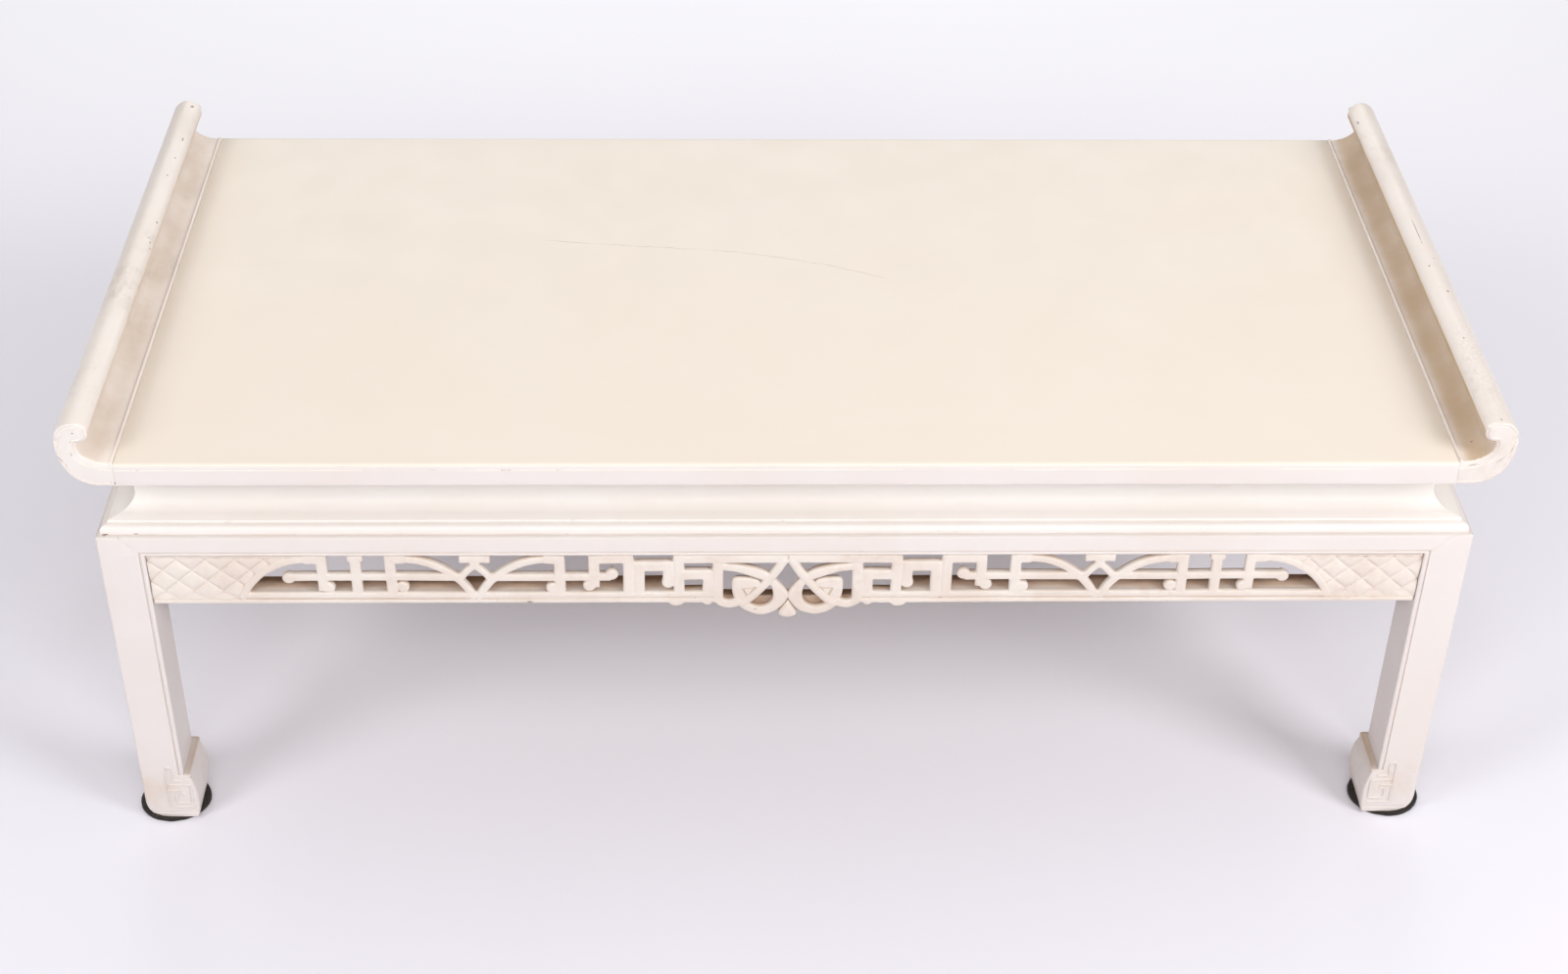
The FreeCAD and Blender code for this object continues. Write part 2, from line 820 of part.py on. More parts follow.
def leg_head():
    # The top of the leg, with its outer corner rounded and its outer rim taken off
    base = rail_underside + moulded_edge
    head = block(0, leg_width, 0, leg_depth, base, frame_top_height)
    upright = [e for e in head.Edges if e.BoundBox.XMax < overrun and e.BoundBox.YMax < overrun]
    head = head.makeFillet(leg_arris_radius, upright)
    low = frame_top_height - overrun / 2
    rim = [e for e in head.Edges if e.BoundBox.ZMin > low
           and (e.BoundBox.XMax < leg_arris_radius + overrun or e.BoundBox.YMax < leg_arris_radius + overrun)]
    return head.makeChamfer(head_chamfer, rim)


def foot_profile(across, point):
    # Side view of the hoof foot: toe at the outer face, swell on the inner one
    base = pad_thickness
    ledge = foot_ledge_height
    cuff = ledge - cuff_height
    swell = across + foot_swell
    toe = swell - foot_toe_in
    heel_middle = point(foot_heel_in * heel_bow_share, base + foot_heel_rise * heel_bow_share)
    return Part.Wire([
        line(point(0, ledge), point(0, base + foot_heel_rise)),
        arc(point(0, base + foot_heel_rise), heel_middle, point(foot_heel_in, base)),
        line(point(foot_heel_in, base), point(toe, base)),
        arc(point(toe, base), point(swell, base + foot_swell_height), point(across + cuff_swell, cuff)),
        line(point(across + cuff_swell, cuff), point(across + cuff_swell - cuff_step, cuff)),
        quarter(point(across + cuff_swell - cuff_step, cuff),
                point(across + cuff_swell - cuff_step, ledge), point(across, ledge)),
        line(point(across, ledge), point(0, ledge)),
    ])


cuff_step = 0.8
heel_bow_share = 0.27


def hoof_foot():
    # The two side views are sawn one after the other, so the inner corner is a swept edge
    reach = leg_width + leg_depth
    front_view = prism(foot_profile(leg_width, on_xz), y_axis * reach)
    side_view = prism(foot_profile(leg_depth, on_yz), x_axis * reach)
    return front_view.common(side_view)


def corner_block_outline():
    # Plan of the front left block, measured in from the two outer faces
    reach = block_reach
    return outline([on_xy(leg_width, rail_thickness), on_xy(reach, rail_thickness),
                    on_xy(rail_thickness, reach), on_xy(rail_thickness, leg_depth),
                    on_xy(leg_width, leg_depth)])


def to_corner(shape):
    # Moves a shape drawn from the outer faces to the front left corner of the frame
    placed = shape.copy()
    placed.translate(on_xy(-half_frame, -half_frame_depth))
    return placed


def to_all_corners(shape):
    left_pair = {"front_left": shape, "back_left": flip_y(shape)}
    corners = dict(left_pair)
    for name, left in left_pair.items():
        corners[name.replace("left", "right")] = flip_x(left)
    return corners


def leg_top_tenon(clearance):
    start = leg_tenon_inset - clearance
    end = leg_tenon_inset + leg_tenon_size + clearance
    return block(start, end, start, end, frame_top_height - overrun,
                 frame_top_height + leg_tenon_height + clearance)


def leg_top_tenons(clearance):
    return list(to_all_corners(to_corner(leg_top_tenon(clearance))).values())


def leg_front_left():
    shaft_base = foot_ledge_height
    shaft_top = rail_underside + moulded_edge
    section = leg_section()
    section.translate(z_axis * shaft_base)
    shaft = prism(section, z_axis * (shaft_top - shaft_base))
    leg = to_corner(join([shaft, leg_head(), hoof_foot(), leg_top_tenon(0)]))
    cutters = []
    for side in ("front", "left"):
        cutters.append(place_on(side, rail_mitre_room(side)))
        cutters.append(place_on(side, rail_tenons(side, tenon_clearance)))
        sill_tenon = fret_end_tenons(side, tenon_clearance)
        cutters.append(place_on(side, sill_tenon))
        cutters.append(place_on(side, flip_x(sill_tenon)))
    return cut(leg, cutters)


# Corner blocks and the screws that hold the waist down to the frame
block_reach = 112.0
screw_along = 62.0
screw_inset = waist_inset + waist_wall / 2
screw_radius = 2.2
screw_length = 42.0
screw_head_radius = 4.6
screw_head_height = 2.6
screw_sides = 12


def turned(place, radius, height):
    # A small round thing with few sides, standing on its place
    rim = []
    for side in range(screw_sides):
        turn = math.pi * 2 * side / screw_sides
        rim.append(place + on_xy(math.cos(turn), math.sin(turn)) * radius)
    return prism(outline(rim), z_axis * height)


def screw_shank(clearance):
    # Front left corner, up from the underside of the block into the front waist
    place = on_xy(screw_along, screw_inset) + z_axis * rail_underside
    return to_corner(turned(place, screw_radius + clearance, screw_length + clearance))


def screw_front_left():
    # Round head against the underside of the block
    place = on_xy(screw_along, screw_inset) + z_axis * (rail_underside - screw_head_height)
    head = turned(place, screw_head_radius, screw_head_height)
    return join([to_corner(head), screw_shank(0)])


def fixing_screw_holes():
    return list(to_all_corners(screw_shank(screw_clearance)).values())


def corner_block_front_left():
    wedge = prism(corner_block_outline(), z_axis * rail_height)
    wedge.translate(z_axis * rail_underside)
    return cut(to_corner(wedge), [screw_shank(screw_clearance)])


# Felt pads under the feet
pad_in_x = 24.4
pad_in_y = 27.4
pad_sides = 26


def pad_front_left():
    # Cut by hand from felt, so its round edge is a run of short straight cuts
    rim = []
    for side in range(pad_sides):
        turn = math.pi * 2 * side / pad_sides
        rim.append(on_xy(pad_in_x, pad_in_y) + on_xy(math.cos(turn), math.sin(turn)) * pad_radius)
    return to_corner(prism(outline(rim), z_axis * pad_thickness))


def build():
    os.makedirs("parts", exist_ok=True)
    export("top_board", top_board())
    scroll = scroll_end_right()
    export("scroll_end_right", scroll)
    export("scroll_end_left", flip_x(scroll))
    for name, x in zip(("left", "middle", "right"), batten_places()):
        export("cross_batten_" + name, batten(x))
    for side in side_turns:
        export("waist_" + side, waist(side))
        export("waist_moulding_" + side, waist_moulding(side))
        export("apron_rail_" + side, rail(side))
    for near, far in (("front", "back"), ("right", "left")):
        panel = fretwork(near)
        export("fretwork_" + near, place_on(near, panel))
        export("fretwork_" + far, place_on(far, panel))
    for corner, leg in to_all_corners(leg_front_left()).items():
        export("leg_" + corner, leg)
    for corner, wedge in to_all_corners(corner_block_front_left()).items():
        export("corner_block_" + corner, wedge)
    for corner, pad in to_all_corners(pad_front_left()).items():
        export("foot_pad_" + corner, pad)
    export("waist_screws", Part.makeCompound(list(to_all_corners(screw_front_left()).values())))


build()
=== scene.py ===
import math

import bmesh
import bpy
import numpy as np
from mathutils import Matrix, Vector, geometry, noise


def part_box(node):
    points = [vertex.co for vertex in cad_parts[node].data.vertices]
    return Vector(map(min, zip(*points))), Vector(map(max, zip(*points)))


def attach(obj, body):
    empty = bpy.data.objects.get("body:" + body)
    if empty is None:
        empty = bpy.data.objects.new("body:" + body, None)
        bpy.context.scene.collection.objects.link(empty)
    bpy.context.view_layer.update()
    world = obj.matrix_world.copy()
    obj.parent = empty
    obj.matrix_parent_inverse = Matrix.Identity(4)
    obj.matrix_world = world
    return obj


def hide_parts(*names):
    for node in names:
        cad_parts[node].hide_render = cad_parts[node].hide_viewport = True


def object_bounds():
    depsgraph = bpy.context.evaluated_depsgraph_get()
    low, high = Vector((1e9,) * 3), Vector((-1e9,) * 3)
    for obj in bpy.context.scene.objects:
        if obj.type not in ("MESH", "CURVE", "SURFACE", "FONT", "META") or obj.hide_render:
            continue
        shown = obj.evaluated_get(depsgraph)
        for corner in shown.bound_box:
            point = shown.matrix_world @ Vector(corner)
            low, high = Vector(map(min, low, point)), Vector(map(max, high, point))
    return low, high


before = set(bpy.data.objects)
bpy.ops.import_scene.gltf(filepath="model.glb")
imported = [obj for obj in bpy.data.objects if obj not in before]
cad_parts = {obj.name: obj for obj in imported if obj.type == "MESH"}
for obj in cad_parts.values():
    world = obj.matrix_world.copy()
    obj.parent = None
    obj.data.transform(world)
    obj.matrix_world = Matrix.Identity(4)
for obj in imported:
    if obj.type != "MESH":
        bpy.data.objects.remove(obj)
noise.seed_set(7)
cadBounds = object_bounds()
mm = 0.001

# Places shared by the pieces, in millimetres, read off the frame so that both agree
scrollLength = 44.9
legWidth, legDepth = 40.0, 47.0
halfLength, halfDepth = cadBounds[1].x / mm, cadBounds[1].y / mm
halfBoard = halfLength - scrollLength
boardUnderside, boardTop = (corner.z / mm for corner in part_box("top_board"))
railUnderside, frameTop = (corner.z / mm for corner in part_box("apron_rail_front"))
halfFrame, halfFrameDepth = (-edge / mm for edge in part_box("leg_front_left")[0][:2])
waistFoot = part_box("waist_front")[0].z / mm
sideNames = ("front", "right", "back", "left")
corners = {"front_left": (1, 1), "front_right": (-1, 1), "back_left": (1, -1), "back_right": (-1, -1)}


def sideSizes(side):
    # How far the side's face is out, half its run, and half the run between the legs.
    if side in ("front", "back"):
        return halfFrameDepth, halfFrame, halfFrame - legWidth
    return halfFrame, halfFrameDepth, halfFrameDepth - legDepth


def onSide(side):
    # Side pieces are drawn with the frame's face at y = 0 and +Y going inwards.
    distance, turns = sideSizes(side)[0], sideNames.index(side)

    def placed(point):
        x, y = point[0], point[1] - distance
        for turn in range(turns):
            x, y = -y, x
        return (x, y, point[2])

    return placed


# Pieces and bodies
def loft(rings):
    count = len(rings[0])
    verts = [v for ring in rings for v in ring]
    faces = [tuple(range(count)), tuple(range((len(rings) - 1) * count, len(rings) * count))]
    for k in range(len(rings) - 1):
        for i in range(count):
            j = (i + 1) % count
            faces.append((k * count + i, k * count + j, (k + 1) * count + j, (k + 1) * count + i))
    return verts, faces


def gathered(bodies, place=tuple, weld=0.003):
    # Joins closed bodies into one piece. Each is cleaned on its own, so that bodies that touch stay apart.
    piece = bmesh.new()
    for verts, faces in bodies:
        body = bmesh.new()
        made = [body.verts.new(place(v)) for v in verts]
        body.verts.index_update()
        for face in faces:
            if len(set(face)) == len(face):
                body.faces.new([made[i] for i in face])
        bmesh.ops.remove_doubles(body, verts=body.verts, dist=weld)
        bmesh.ops.dissolve_degenerate(body, dist=weld / 2, edges=body.edges)
        bmesh.ops.recalc_face_normals(body, faces=body.faces)
        held = bpy.data.meshes.new("body")
        body.to_mesh(held)
        body.free()
        piece.from_mesh(held)
        bpy.data.meshes.remove(held)
    return piece


def newObject(name, data):
    made = bpy.data.objects.new(name, data)
    bpy.context.scene.collection.objects.link(made)
    return made


def makePiece(node, piece, materials, sharp=32, wobble=0.12, ripple=0.0):
    # Turns a piece drawn in millimetres into an object, with the slight unevenness of hand work.
    low, high = cadBounds[0] / mm, cadBounds[1] / mm
    for v in piece.verts:
        drift = noise.noise_vector(v.co * 0.011) * wobble + noise.noise_vector(v.co * 0.06) * ripple
        v.co = Vector(min(max(v.co[i] + drift[i], low[i]), high[i]) for i in range(3)) * mm
    for face in piece.faces:
        face.smooth = True
    for edge in piece.edges:
        edge.smooth = len(edge.link_faces) == 2 and edge.calc_face_angle(0) < math.radians(sharp)
    first, *rest = node.split("_")
    name = first + "".join(word.capitalize() for word in rest)
    mesh = bpy.data.meshes.new(name)
    piece.to_mesh(mesh)
    piece.free()
    obj = newObject(name, mesh)
    for material in materials:
        mesh.materials.append(material)
    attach(obj, "root")
    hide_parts(node)
    return obj


def paintFaces(obj, rule):
    # Gives each face the material number that the rule returns for its normal.
    for face in obj.data.polygons:
        face.material_index = rule(face.normal)


def setAgeAndShade(obj, rule):
    # Stores how brown each point is, from 0 to 1: bare wood on the fret, painted shade in the scroll troughs and on
    # the legs' inner ledges, and a browner foot.
    layer = obj.data.attributes.new("age", "FLOAT", "POINT")
    layer.data.foreach_set("value", [min(max(rule(v.co / mm), 0), 1) for v in obj.data.vertices])


def grown(holder, tree, values):
    # Runs a geometry node tree on a holder, which is removed, and gives the plain mesh that comes out.
    modifier = holder.modifiers.new(tree.name, "NODES")
    modifier.node_group = tree
    for item in tree.interface.items_tree:
        if item.item_type == "SOCKET" and item.in_out == "INPUT" and item.name in values:
            modifier[item.identifier] = values[item.name]
    graph = bpy.context.evaluated_depsgraph_get()
    graph.update()
    mesh = bpy.data.meshes.new_from_object(holder.evaluated_get(graph), preserve_all_data_layers=True,
                                           depsgraph=graph)
    holder.modifiers.remove(modifier)
    bpy.data.objects.remove(holder)
    return mesh


# Curves and distance fields for the carved pieces
def pointAt(hub, radius, degrees):
    turn = math.radians(degrees)
    return (hub[0] + radius * math.cos(turn), hub[1] + radius * math.sin(turn))


def arcSpan(start, middle, end):
    # Hub, radius, first angle and signed turn of the arc through three points.
    (ax, ay), (bx, by), (cx, cy) = start, middle, end
    a, b, c = ax**2 + ay**2, bx**2 + by**2, cx**2 + cy**2
    d = 2 * (ax * (by - cy) + bx * (cy - ay) + cx * (ay - by))
    hub = ((a * (by - cy) + b * (cy - ay) + c * (ay - by)) / d, (a * (cx - bx) + b * (ax - cx) + c * (bx - ax)) / d)
    first, second, third = (math.atan2(p[1] - hub[1], p[0] - hub[0]) for p in (start, middle, end))
    turn = (third - first) % math.tau
    if (second - first) % math.tau > turn:
        turn -= math.tau
    return hub, math.hypot(ax - hub[0], ay - hub[1]), first, turn


def arcPoints(start, middle, end, steps):
    hub, radius, first, turn = arcSpan(start, middle, end)
    turns = [first + turn * k / steps for k in range(steps + 1)]
    return [(hub[0] + radius * math.cos(a), hub[1] + radius * math.sin(a)) for a in turns]


def quarterPoints(start, corner, end, steps):
    hub = (start[0] + end[0] - corner[0], start[1] + end[1] - corner[1])
    turns = [math.pi / 2 * k / steps for k in range(steps + 1)]
    return [tuple(hub[i] + (start[i] - hub[i]) * math.cos(a) + (end[i] - hub[i]) * math.sin(a) for i in range(2))
            for a in turns]


def bendPoints(start, end, firstRadius, steps):
    # Two tangent arcs that leave start along +X and reach end along +Z.
    gapX, gapZ = end[0] - start[0] - firstRadius, end[1] - start[1] - firstRadius
    turn = (math.atan(gapZ / gapX) - math.pi / 4) * 2
    secondRadius = firstRadius + gapX / (1 - math.sin(turn))
    firstArc = [turn * k / steps for k in range(steps + 1)]
    secondArc = [turn + (math.pi / 2 - turn) * k / steps for k in range(1, steps + 1)]
    points = [(start[0] + math.sin(a) * firstRadius, start[1] + (1 - math.cos(a)) * firstRadius) for a in firstArc]
    return points + [(end[0] - (1 - math.sin(a)) * secondRadius, end[1] - math.cos(a) * secondRadius)
                     for a in secondArc]


def smoothLine(points, steps=5):
    # A closed line that runs smoothly through the given points.
    line = []
    count = len(points)
    for i in range(count):
        a, b, c, d = (np.array(points[(i + k) % count]) for k in (-1, 0, 1, 2))
        for t in (k / steps for k in range(steps)):
            line.append(tuple(((2 * b) + (c - a) * t + (2 * a - 5 * b + 4 * c - d) * t**2
                               + (3 * b - 3 * c + d - a) * t**3) / 2))
    return line


def rodField(px, pz, start, end, width):
    length = math.hypot(end[0] - start[0], end[1] - start[1])
    ux, uz = (end[0] - start[0]) / length, (end[1] - start[1]) / length
    along = np.abs((px - start[0]) * ux + (pz - start[1]) * uz - length / 2) - length / 2
    across = np.abs((px - start[0]) * uz - (pz - start[1]) * ux) - width / 2
    return np.hypot(np.maximum(along, 0), np.maximum(across, 0)) + np.minimum(np.maximum(along, across), 0)


def bowField(px, pz, start, middle, end, width):
    hub, radius, first, turn = arcSpan(start, middle, end)
    bearing = np.arctan2(pz - hub[1], px - hub[0]) - (first + turn / 2)
    bearing = np.abs((bearing + math.pi) % math.tau - math.pi)
    onArc = np.abs(np.hypot(px - hub[0], pz - hub[1]) - radius)
    tips = np.minimum(np.hypot(px - start[0], pz - start[1]), np.hypot(px - end[0], pz - end[1]))
    return np.where(bearing <= abs(turn) / 2, onArc, tips) - width / 2


def pathField(px, pz, points, closed=True):
    # Distance to a line of points, negative inside it if it is closed.
    nearest = np.full(px.shape, 1e9)
    inside = np.zeros(px.shape, bool)
    for i in range(len(points) - (not closed)):
        (ax, az), (bx, bz) = points[i], points[(i + 1) % len(points)]
        ex, ez = bx - ax, bz - az
        if ex == 0 and ez == 0:
            continue
        t = np.clip(((px - ax) * ex + (pz - az) * ez) / (ex * ex + ez * ez), 0, 1)
        nearest = np.minimum(nearest, np.hypot(px - ax - t * ex, pz - az - t * ez))
        if ez != 0:
            inside ^= ((az > pz) != (bz > pz)) & (px < ex * (pz - az) / ez + ax)
    return np.where(inside, -nearest, nearest) if closed else nearest


def blendFields(a, b, soft):
    # Joins two fields with a small fillet in the inner corners.
    h = np.maximum(soft - np.abs(a - b), 0) / soft
    return np.minimum(a, b) - h * h * soft / 4


def fieldGrid(lowX, highX, lowZ, highZ, cell):
    xs, zs = np.arange(lowX, highX + cell, cell), np.arange(lowZ, highZ + cell, cell)
    px, pz = np.meshgrid(xs, zs)
    return {"xs": xs, "zs": zs, "px": px, "pz": pz, "cell": cell}


def sample(grid, field, x, z):
    c = np.clip((x - grid["xs"][0]) / grid["cell"], 0, len(grid["xs"]) - 1.001)
    r = np.clip((z - grid["zs"][0]) / grid["cell"], 0, len(grid["zs"]) - 1.001)
    ci, ri = c.astype(int), r.astype(int)
    fc, fr = c - ci, r - ri
    return ((field[ri, ci] * (1 - fc) + field[ri, ci + 1] * fc) * (1 - fr)
            + (field[ri + 1, ci] * (1 - fc) + field[ri + 1, ci + 1] * fc) * fr)


# For each pattern of cell corners inside the shape: which cell sides the outline enters and leaves by
cellLines = {1: ((0, 3),), 2: ((1, 0),), 3: ((1, 3),), 4: ((2, 1),), 5: ((0, 3), (2, 1)), 6: ((2, 0),),
             7: ((2, 3),), 8: ((3, 2),), 9: ((0, 2),), 10: ((1, 0), (3, 2)), 11: ((1, 2),), 12: ((3, 1),),
             13: ((0, 1),), 14: ((3, 0),)}


def contours(grid, field, level):
    xs, zs = grid["xs"], grid["zs"]
    field = np.pad(field[1:-1, 1:-1], 1, constant_values=level + 1)   # lines close along the grid's border
    inside = (field < level).astype(int)
    code = inside[:-1, :-1] + inside[:-1, 1:] * 2 + inside[1:, 1:] * 4 + inside[1:, :-1] * 8
    following = {}
    for r, c in zip(*np.nonzero((code > 0) & (code < 15))):
        keys = ((0, r, c), (1, r, c + 1), (0, r + 1, c), (1, r, c))
        for start, end in cellLines[code[r, c]]:
            following[keys[start]] = keys[end]

    def crossing(key):
        upright, r, c = key
        a, b = field[r, c], field[r + upright, c + 1 - upright]
        t = (level - a) / (b - a)
        return (xs[c], zs[r] + t * (zs[r + 1] - zs[r])) if upright else (xs[c] + t * (xs[c + 1] - xs[c]), zs[r])

    loops = []
    while following:
        first, key = following.popitem()
        loop = [crossing(first)]
        while key != first:
            loop.append(crossing(key))
            key = following.pop(key)
        loops.append(loop)
    return loops


def thinned(loop, slack):
    # Leaves out the points of a closed loop that lie within slack of the line through the rest.
    points = np.array(loop)
    far = int(np.argmax(np.hypot(*(points - points[0]).T)))
    ring = np.vstack([points, points[:1]])
    keep = {0, far}
    stack = [(0, far), (far, len(points))]
    while stack:
        a, b = stack.pop()
        if b - a < 2:
            continue
        chord, rel = ring[b] - ring[a], ring[a + 1:b] - ring[a]
        size = math.hypot(*chord)
        away = np.abs(rel[:, 0] * chord[1] - rel[:, 1] * chord[0]) / size if size > 1e-9 else np.hypot(*rel.T)
        worst = int(np.argmax(away))
        if away[worst] > slack:
            split = a + 1 + worst
            keep.add(split)
            stack += [(a, split), (split, b)]
    return [tuple(points[i % len(points)]) for i in sorted(keep)]


def carved(grid, outline, cuts, frontDepth, backDepth, slack=0.04, wallSteps=1):
    # A carved slab: frontDepth and backDepth give both faces over each point, walls follow the outline.
    # The cuts are further field levels along which the faces bend.
    points, edges = [], []
    for field, level in [(outline, 0.0)] + cuts:
        for loop in contours(grid, field, level):
            loop = thinned(loop, slack)
            if len(loop) > 2:
                start = len(points)
                points += loop
                edges += [(start + i, start + (i + 1) % len(loop)) for i in range(len(loop))]
    made = geometry.delaunay_2d_cdt([Vector(p) for p in points], edges, [], 0, 1e-4)
    flat, triangles = np.array([tuple(v) for v in made[0]]), np.array(made[2])
    middles = flat[triangles].mean(axis=1)
    triangles = triangles[sample(grid, outline, middles[:, 0], middles[:, 1]) < -1e-3].tolist()
    front, back = frontDepth(flat[:, 0], flat[:, 1]), backDepth(flat[:, 0], flat[:, 1])
    count = len(flat)
    verts = [(x, y, z) for depth in (front, back) for (x, z), y in zip(flat, depth)]
    faces = [tuple(t) for t in triangles] + [tuple(i + count for i in t[::-1]) for t in triangles]
    shares = [step / wallSteps for step in range(1, wallSteps)]
    if shares:
        shares = [0.002, 0.008] + shares + [0.992, 0.998]   # short steps keep the toning of both faces apart
    sides = dict.fromkeys(edge for a, b, c in triangles for edge in ((a, b), (b, c), (c, a)))
    walls = {}
    for a, b in sides:
        if (b, a) in sides:
            continue
        for v in (a, b):
            if v not in walls:
                walls[v] = [v, *range(len(verts), len(verts) + len(shares)), v + count]
                verts += [(flat[v, 0], front[v] * (1 - share) + back[v] * share, flat[v, 1]) for share in shares]
        faces += [(walls[b][k], walls[a][k], walls[a][k + 1], walls[b][k + 1]) for k in range(len(shares) + 1)]
    return verts, faces


# Node trees. Every node is made in the tree that was started last.
making = {}


def setInputs(node, inputs):
    for key, value in inputs.items():
        for one in value if isinstance(value, list) else [value]:
            if isinstance(one, bpy.types.NodeSocket):
                making["tree"].links.new(one, node.inputs[key])
            else:
                node.inputs[key].default_value = one


def addNode(kind, inputs=None, out=0, **settings):
    # Gives the new node's output.
    made = making["tree"].nodes.new(kind)
    for key, value in settings.items():
        setattr(made, key, value)
    setInputs(made, inputs or {})
    return made.outputs[out]


def startTree(name, sockets):
    # Gives the outputs by which a geometry tree's named inputs come in.
    making["tree"] = bpy.data.node_groups.new(name, "GeometryNodeTree")
    interface = making["tree"].interface
    interface.new_socket("Geometry", in_out="OUTPUT", socket_type="NodeSocketGeometry")
    for label, kind in {"Geometry": "Geometry", "Material": "Material", **sockets}.items():
        interface.new_socket(label, in_out="INPUT", socket_type="NodeSocket" + kind)
    return making["tree"].nodes.new("NodeGroupInput").outputs


def endTree(given, parts):
    real = addNode("GeometryNodeRealizeInstances", {"Geometry": parts})
    skin = addNode("GeometryNodeSetMaterial", {"Geometry": real, "Material": given["Material"]})
    setInputs(making["tree"].nodes.new("NodeGroupOutput"), {"Geometry": skin})
    return making["tree"]


def startMaterial(name):
    material = bpy.data.materials.new(name)
    material.use_nodes = True
    making["tree"] = material.node_tree
    return material, addNode("ShaderNodeTexCoord", out="Object")


def endMaterial(material, inputs, bump=None, strength=0.5):
    # Sets the shader's inputs. The bump is a height with its distance in metres.
    if bump:
        inputs["Normal"] = addNode("ShaderNodeBump", {"Height": bump[0], "Distance": bump[1], "Strength": strength})
    setInputs(making["tree"].nodes["Principled BSDF"], inputs)
    return material


def mixed(share, first, second):
    first, second = (c if isinstance(c, bpy.types.NodeSocket) else (*c, 1) for c in (first, second))
    return addNode("ShaderNodeMix", {0: share, 6: first, 7: second}, 2, data_type="RGBA")


def ranged(value, low, high, outLow=0.0, outHigh=1.0):
    return addNode("ShaderNodeMapRange", {0: value, 1: low, 2: high, 3: outLow, 4: outHigh},
                   interpolation_type="SMOOTHSTEP")


def worked(operation, *values):
    return addNode("ShaderNodeMath", dict(enumerate(values)), operation=operation)


def times(first, second):
    return worked("MULTIPLY", first, second)


def noised(coords, scale, detail=3.0, rough=0.55, twist=0.0):
    return addNode("ShaderNodeTexNoise", {"Vector": coords, "Scale": scale, "Detail": detail, "Roughness": rough,
                                          "Distortion": twist}, "Fac")


def stretched(coords, scale):
    return addNode("ShaderNodeMapping", {"Vector": coords, "Scale": scale})


def openness(distance):
    # 1 on open faces, lower in hollows and corners.
    return addNode("ShaderNodeAmbientOcclusion", {"Distance": distance}, "AO", samples=6)


def bentVector(coords, scale, size):
    # Bends the coordinates a little, so that cracks wander.
    cloud = addNode("ShaderNodeTexNoise", {"Vector": coords, "Scale": scale, "Detail": 4.0}, "Color")
    centred = addNode("ShaderNodeVectorMath", {0: cloud, 1: (0.5, 0.5, 0.5)}, operation="SUBTRACT")
    scaled = addNode("ShaderNodeVectorMath", {0: centred, "Scale": size}, operation="SCALE")
    return addNode("ShaderNodeVectorMath", {0: coords, 1: scaled}, operation="ADD")


def nearness(coords, place):
    # Distance from a place in units of its half sizes. The place is x, y, z, half sizes and a turn about Y.
    x, y, z, a, b, c, turn = (*place, 0)[:7]
    spot = addNode("ShaderNodeMapping", {"Vector": coords, "Location": (x * mm, y * mm, z * mm),
                                         "Rotation": (0, math.radians(turn), 0),
                                         "Scale": (a * mm, b * mm, c * mm)}, vector_type="TEXTURE")
    return addNode("ShaderNodeVectorMath", {0: spot}, "Value", operation="LENGTH")


def marked(coords, marks):
    # Chips, dents and short cracks at their measured places.
    wavy = bentVector(coords, 90.0, 0.0016)
    away = nearness(wavy, marks[0])
    for place in marks[1:]:
        away = worked("MINIMUM", away, nearness(wavy, place))
    return ranged(worked("ADD", away, times(noised(coords, 420.0, 3), 1.1)), 1.55, 1.05, 0.0, 0.72)


def crackLine(coords, points, width):
    # A long crack over the top: its points give y against x, both in metres.
    parts = addNode("ShaderNodeSeparateXYZ", {0: bentVector(coords, 45.0, 0.006)}).node.outputs
    low, high = points[0][0], points[-1][0]
    share = addNode("ShaderNodeMapRange", {0: parts["X"], 1: low, 2: high})
    curve = addNode("ShaderNodeFloatCurve", {"Value": share})
    rows = curve.node.mapping.curves[0].points
    spots = [((x - low) / (high - low), 0.5 + y * 2) for x, y in points]
    rows[0].location, rows[-1].location = spots[0], spots[-1]
    for spot in spots[1:-1]:
        rows.new(*spot)
    curve.node.mapping.update()
    away = worked("ABSOLUTE", worked("SUBTRACT", parts["Y"], times(worked("SUBTRACT", curve, 0.5), 0.5)))
    ends = times(worked("GREATER_THAN", parts["X"], low), worked("LESS_THAN", parts["X"], high))
    return times(ranged(away, width, width * 0.3), ends)


# Materials
lacquerLook = {"mottleScale": 5.0, "streakScale": (2.5, 40.0, 40.0), "speckScale": 30.0, "speckShare": 0.60,
               "wearRadius": 0.0011, "hollowShadeDistance": 0.009, "roughness": 0.39, "roughSpread": 0.09,
               "ageNoise": 0.12, "crackShare": 0.4, "webShare": 0.16, "grimeShare": 0.6, "bumpDistance": 0.00022}


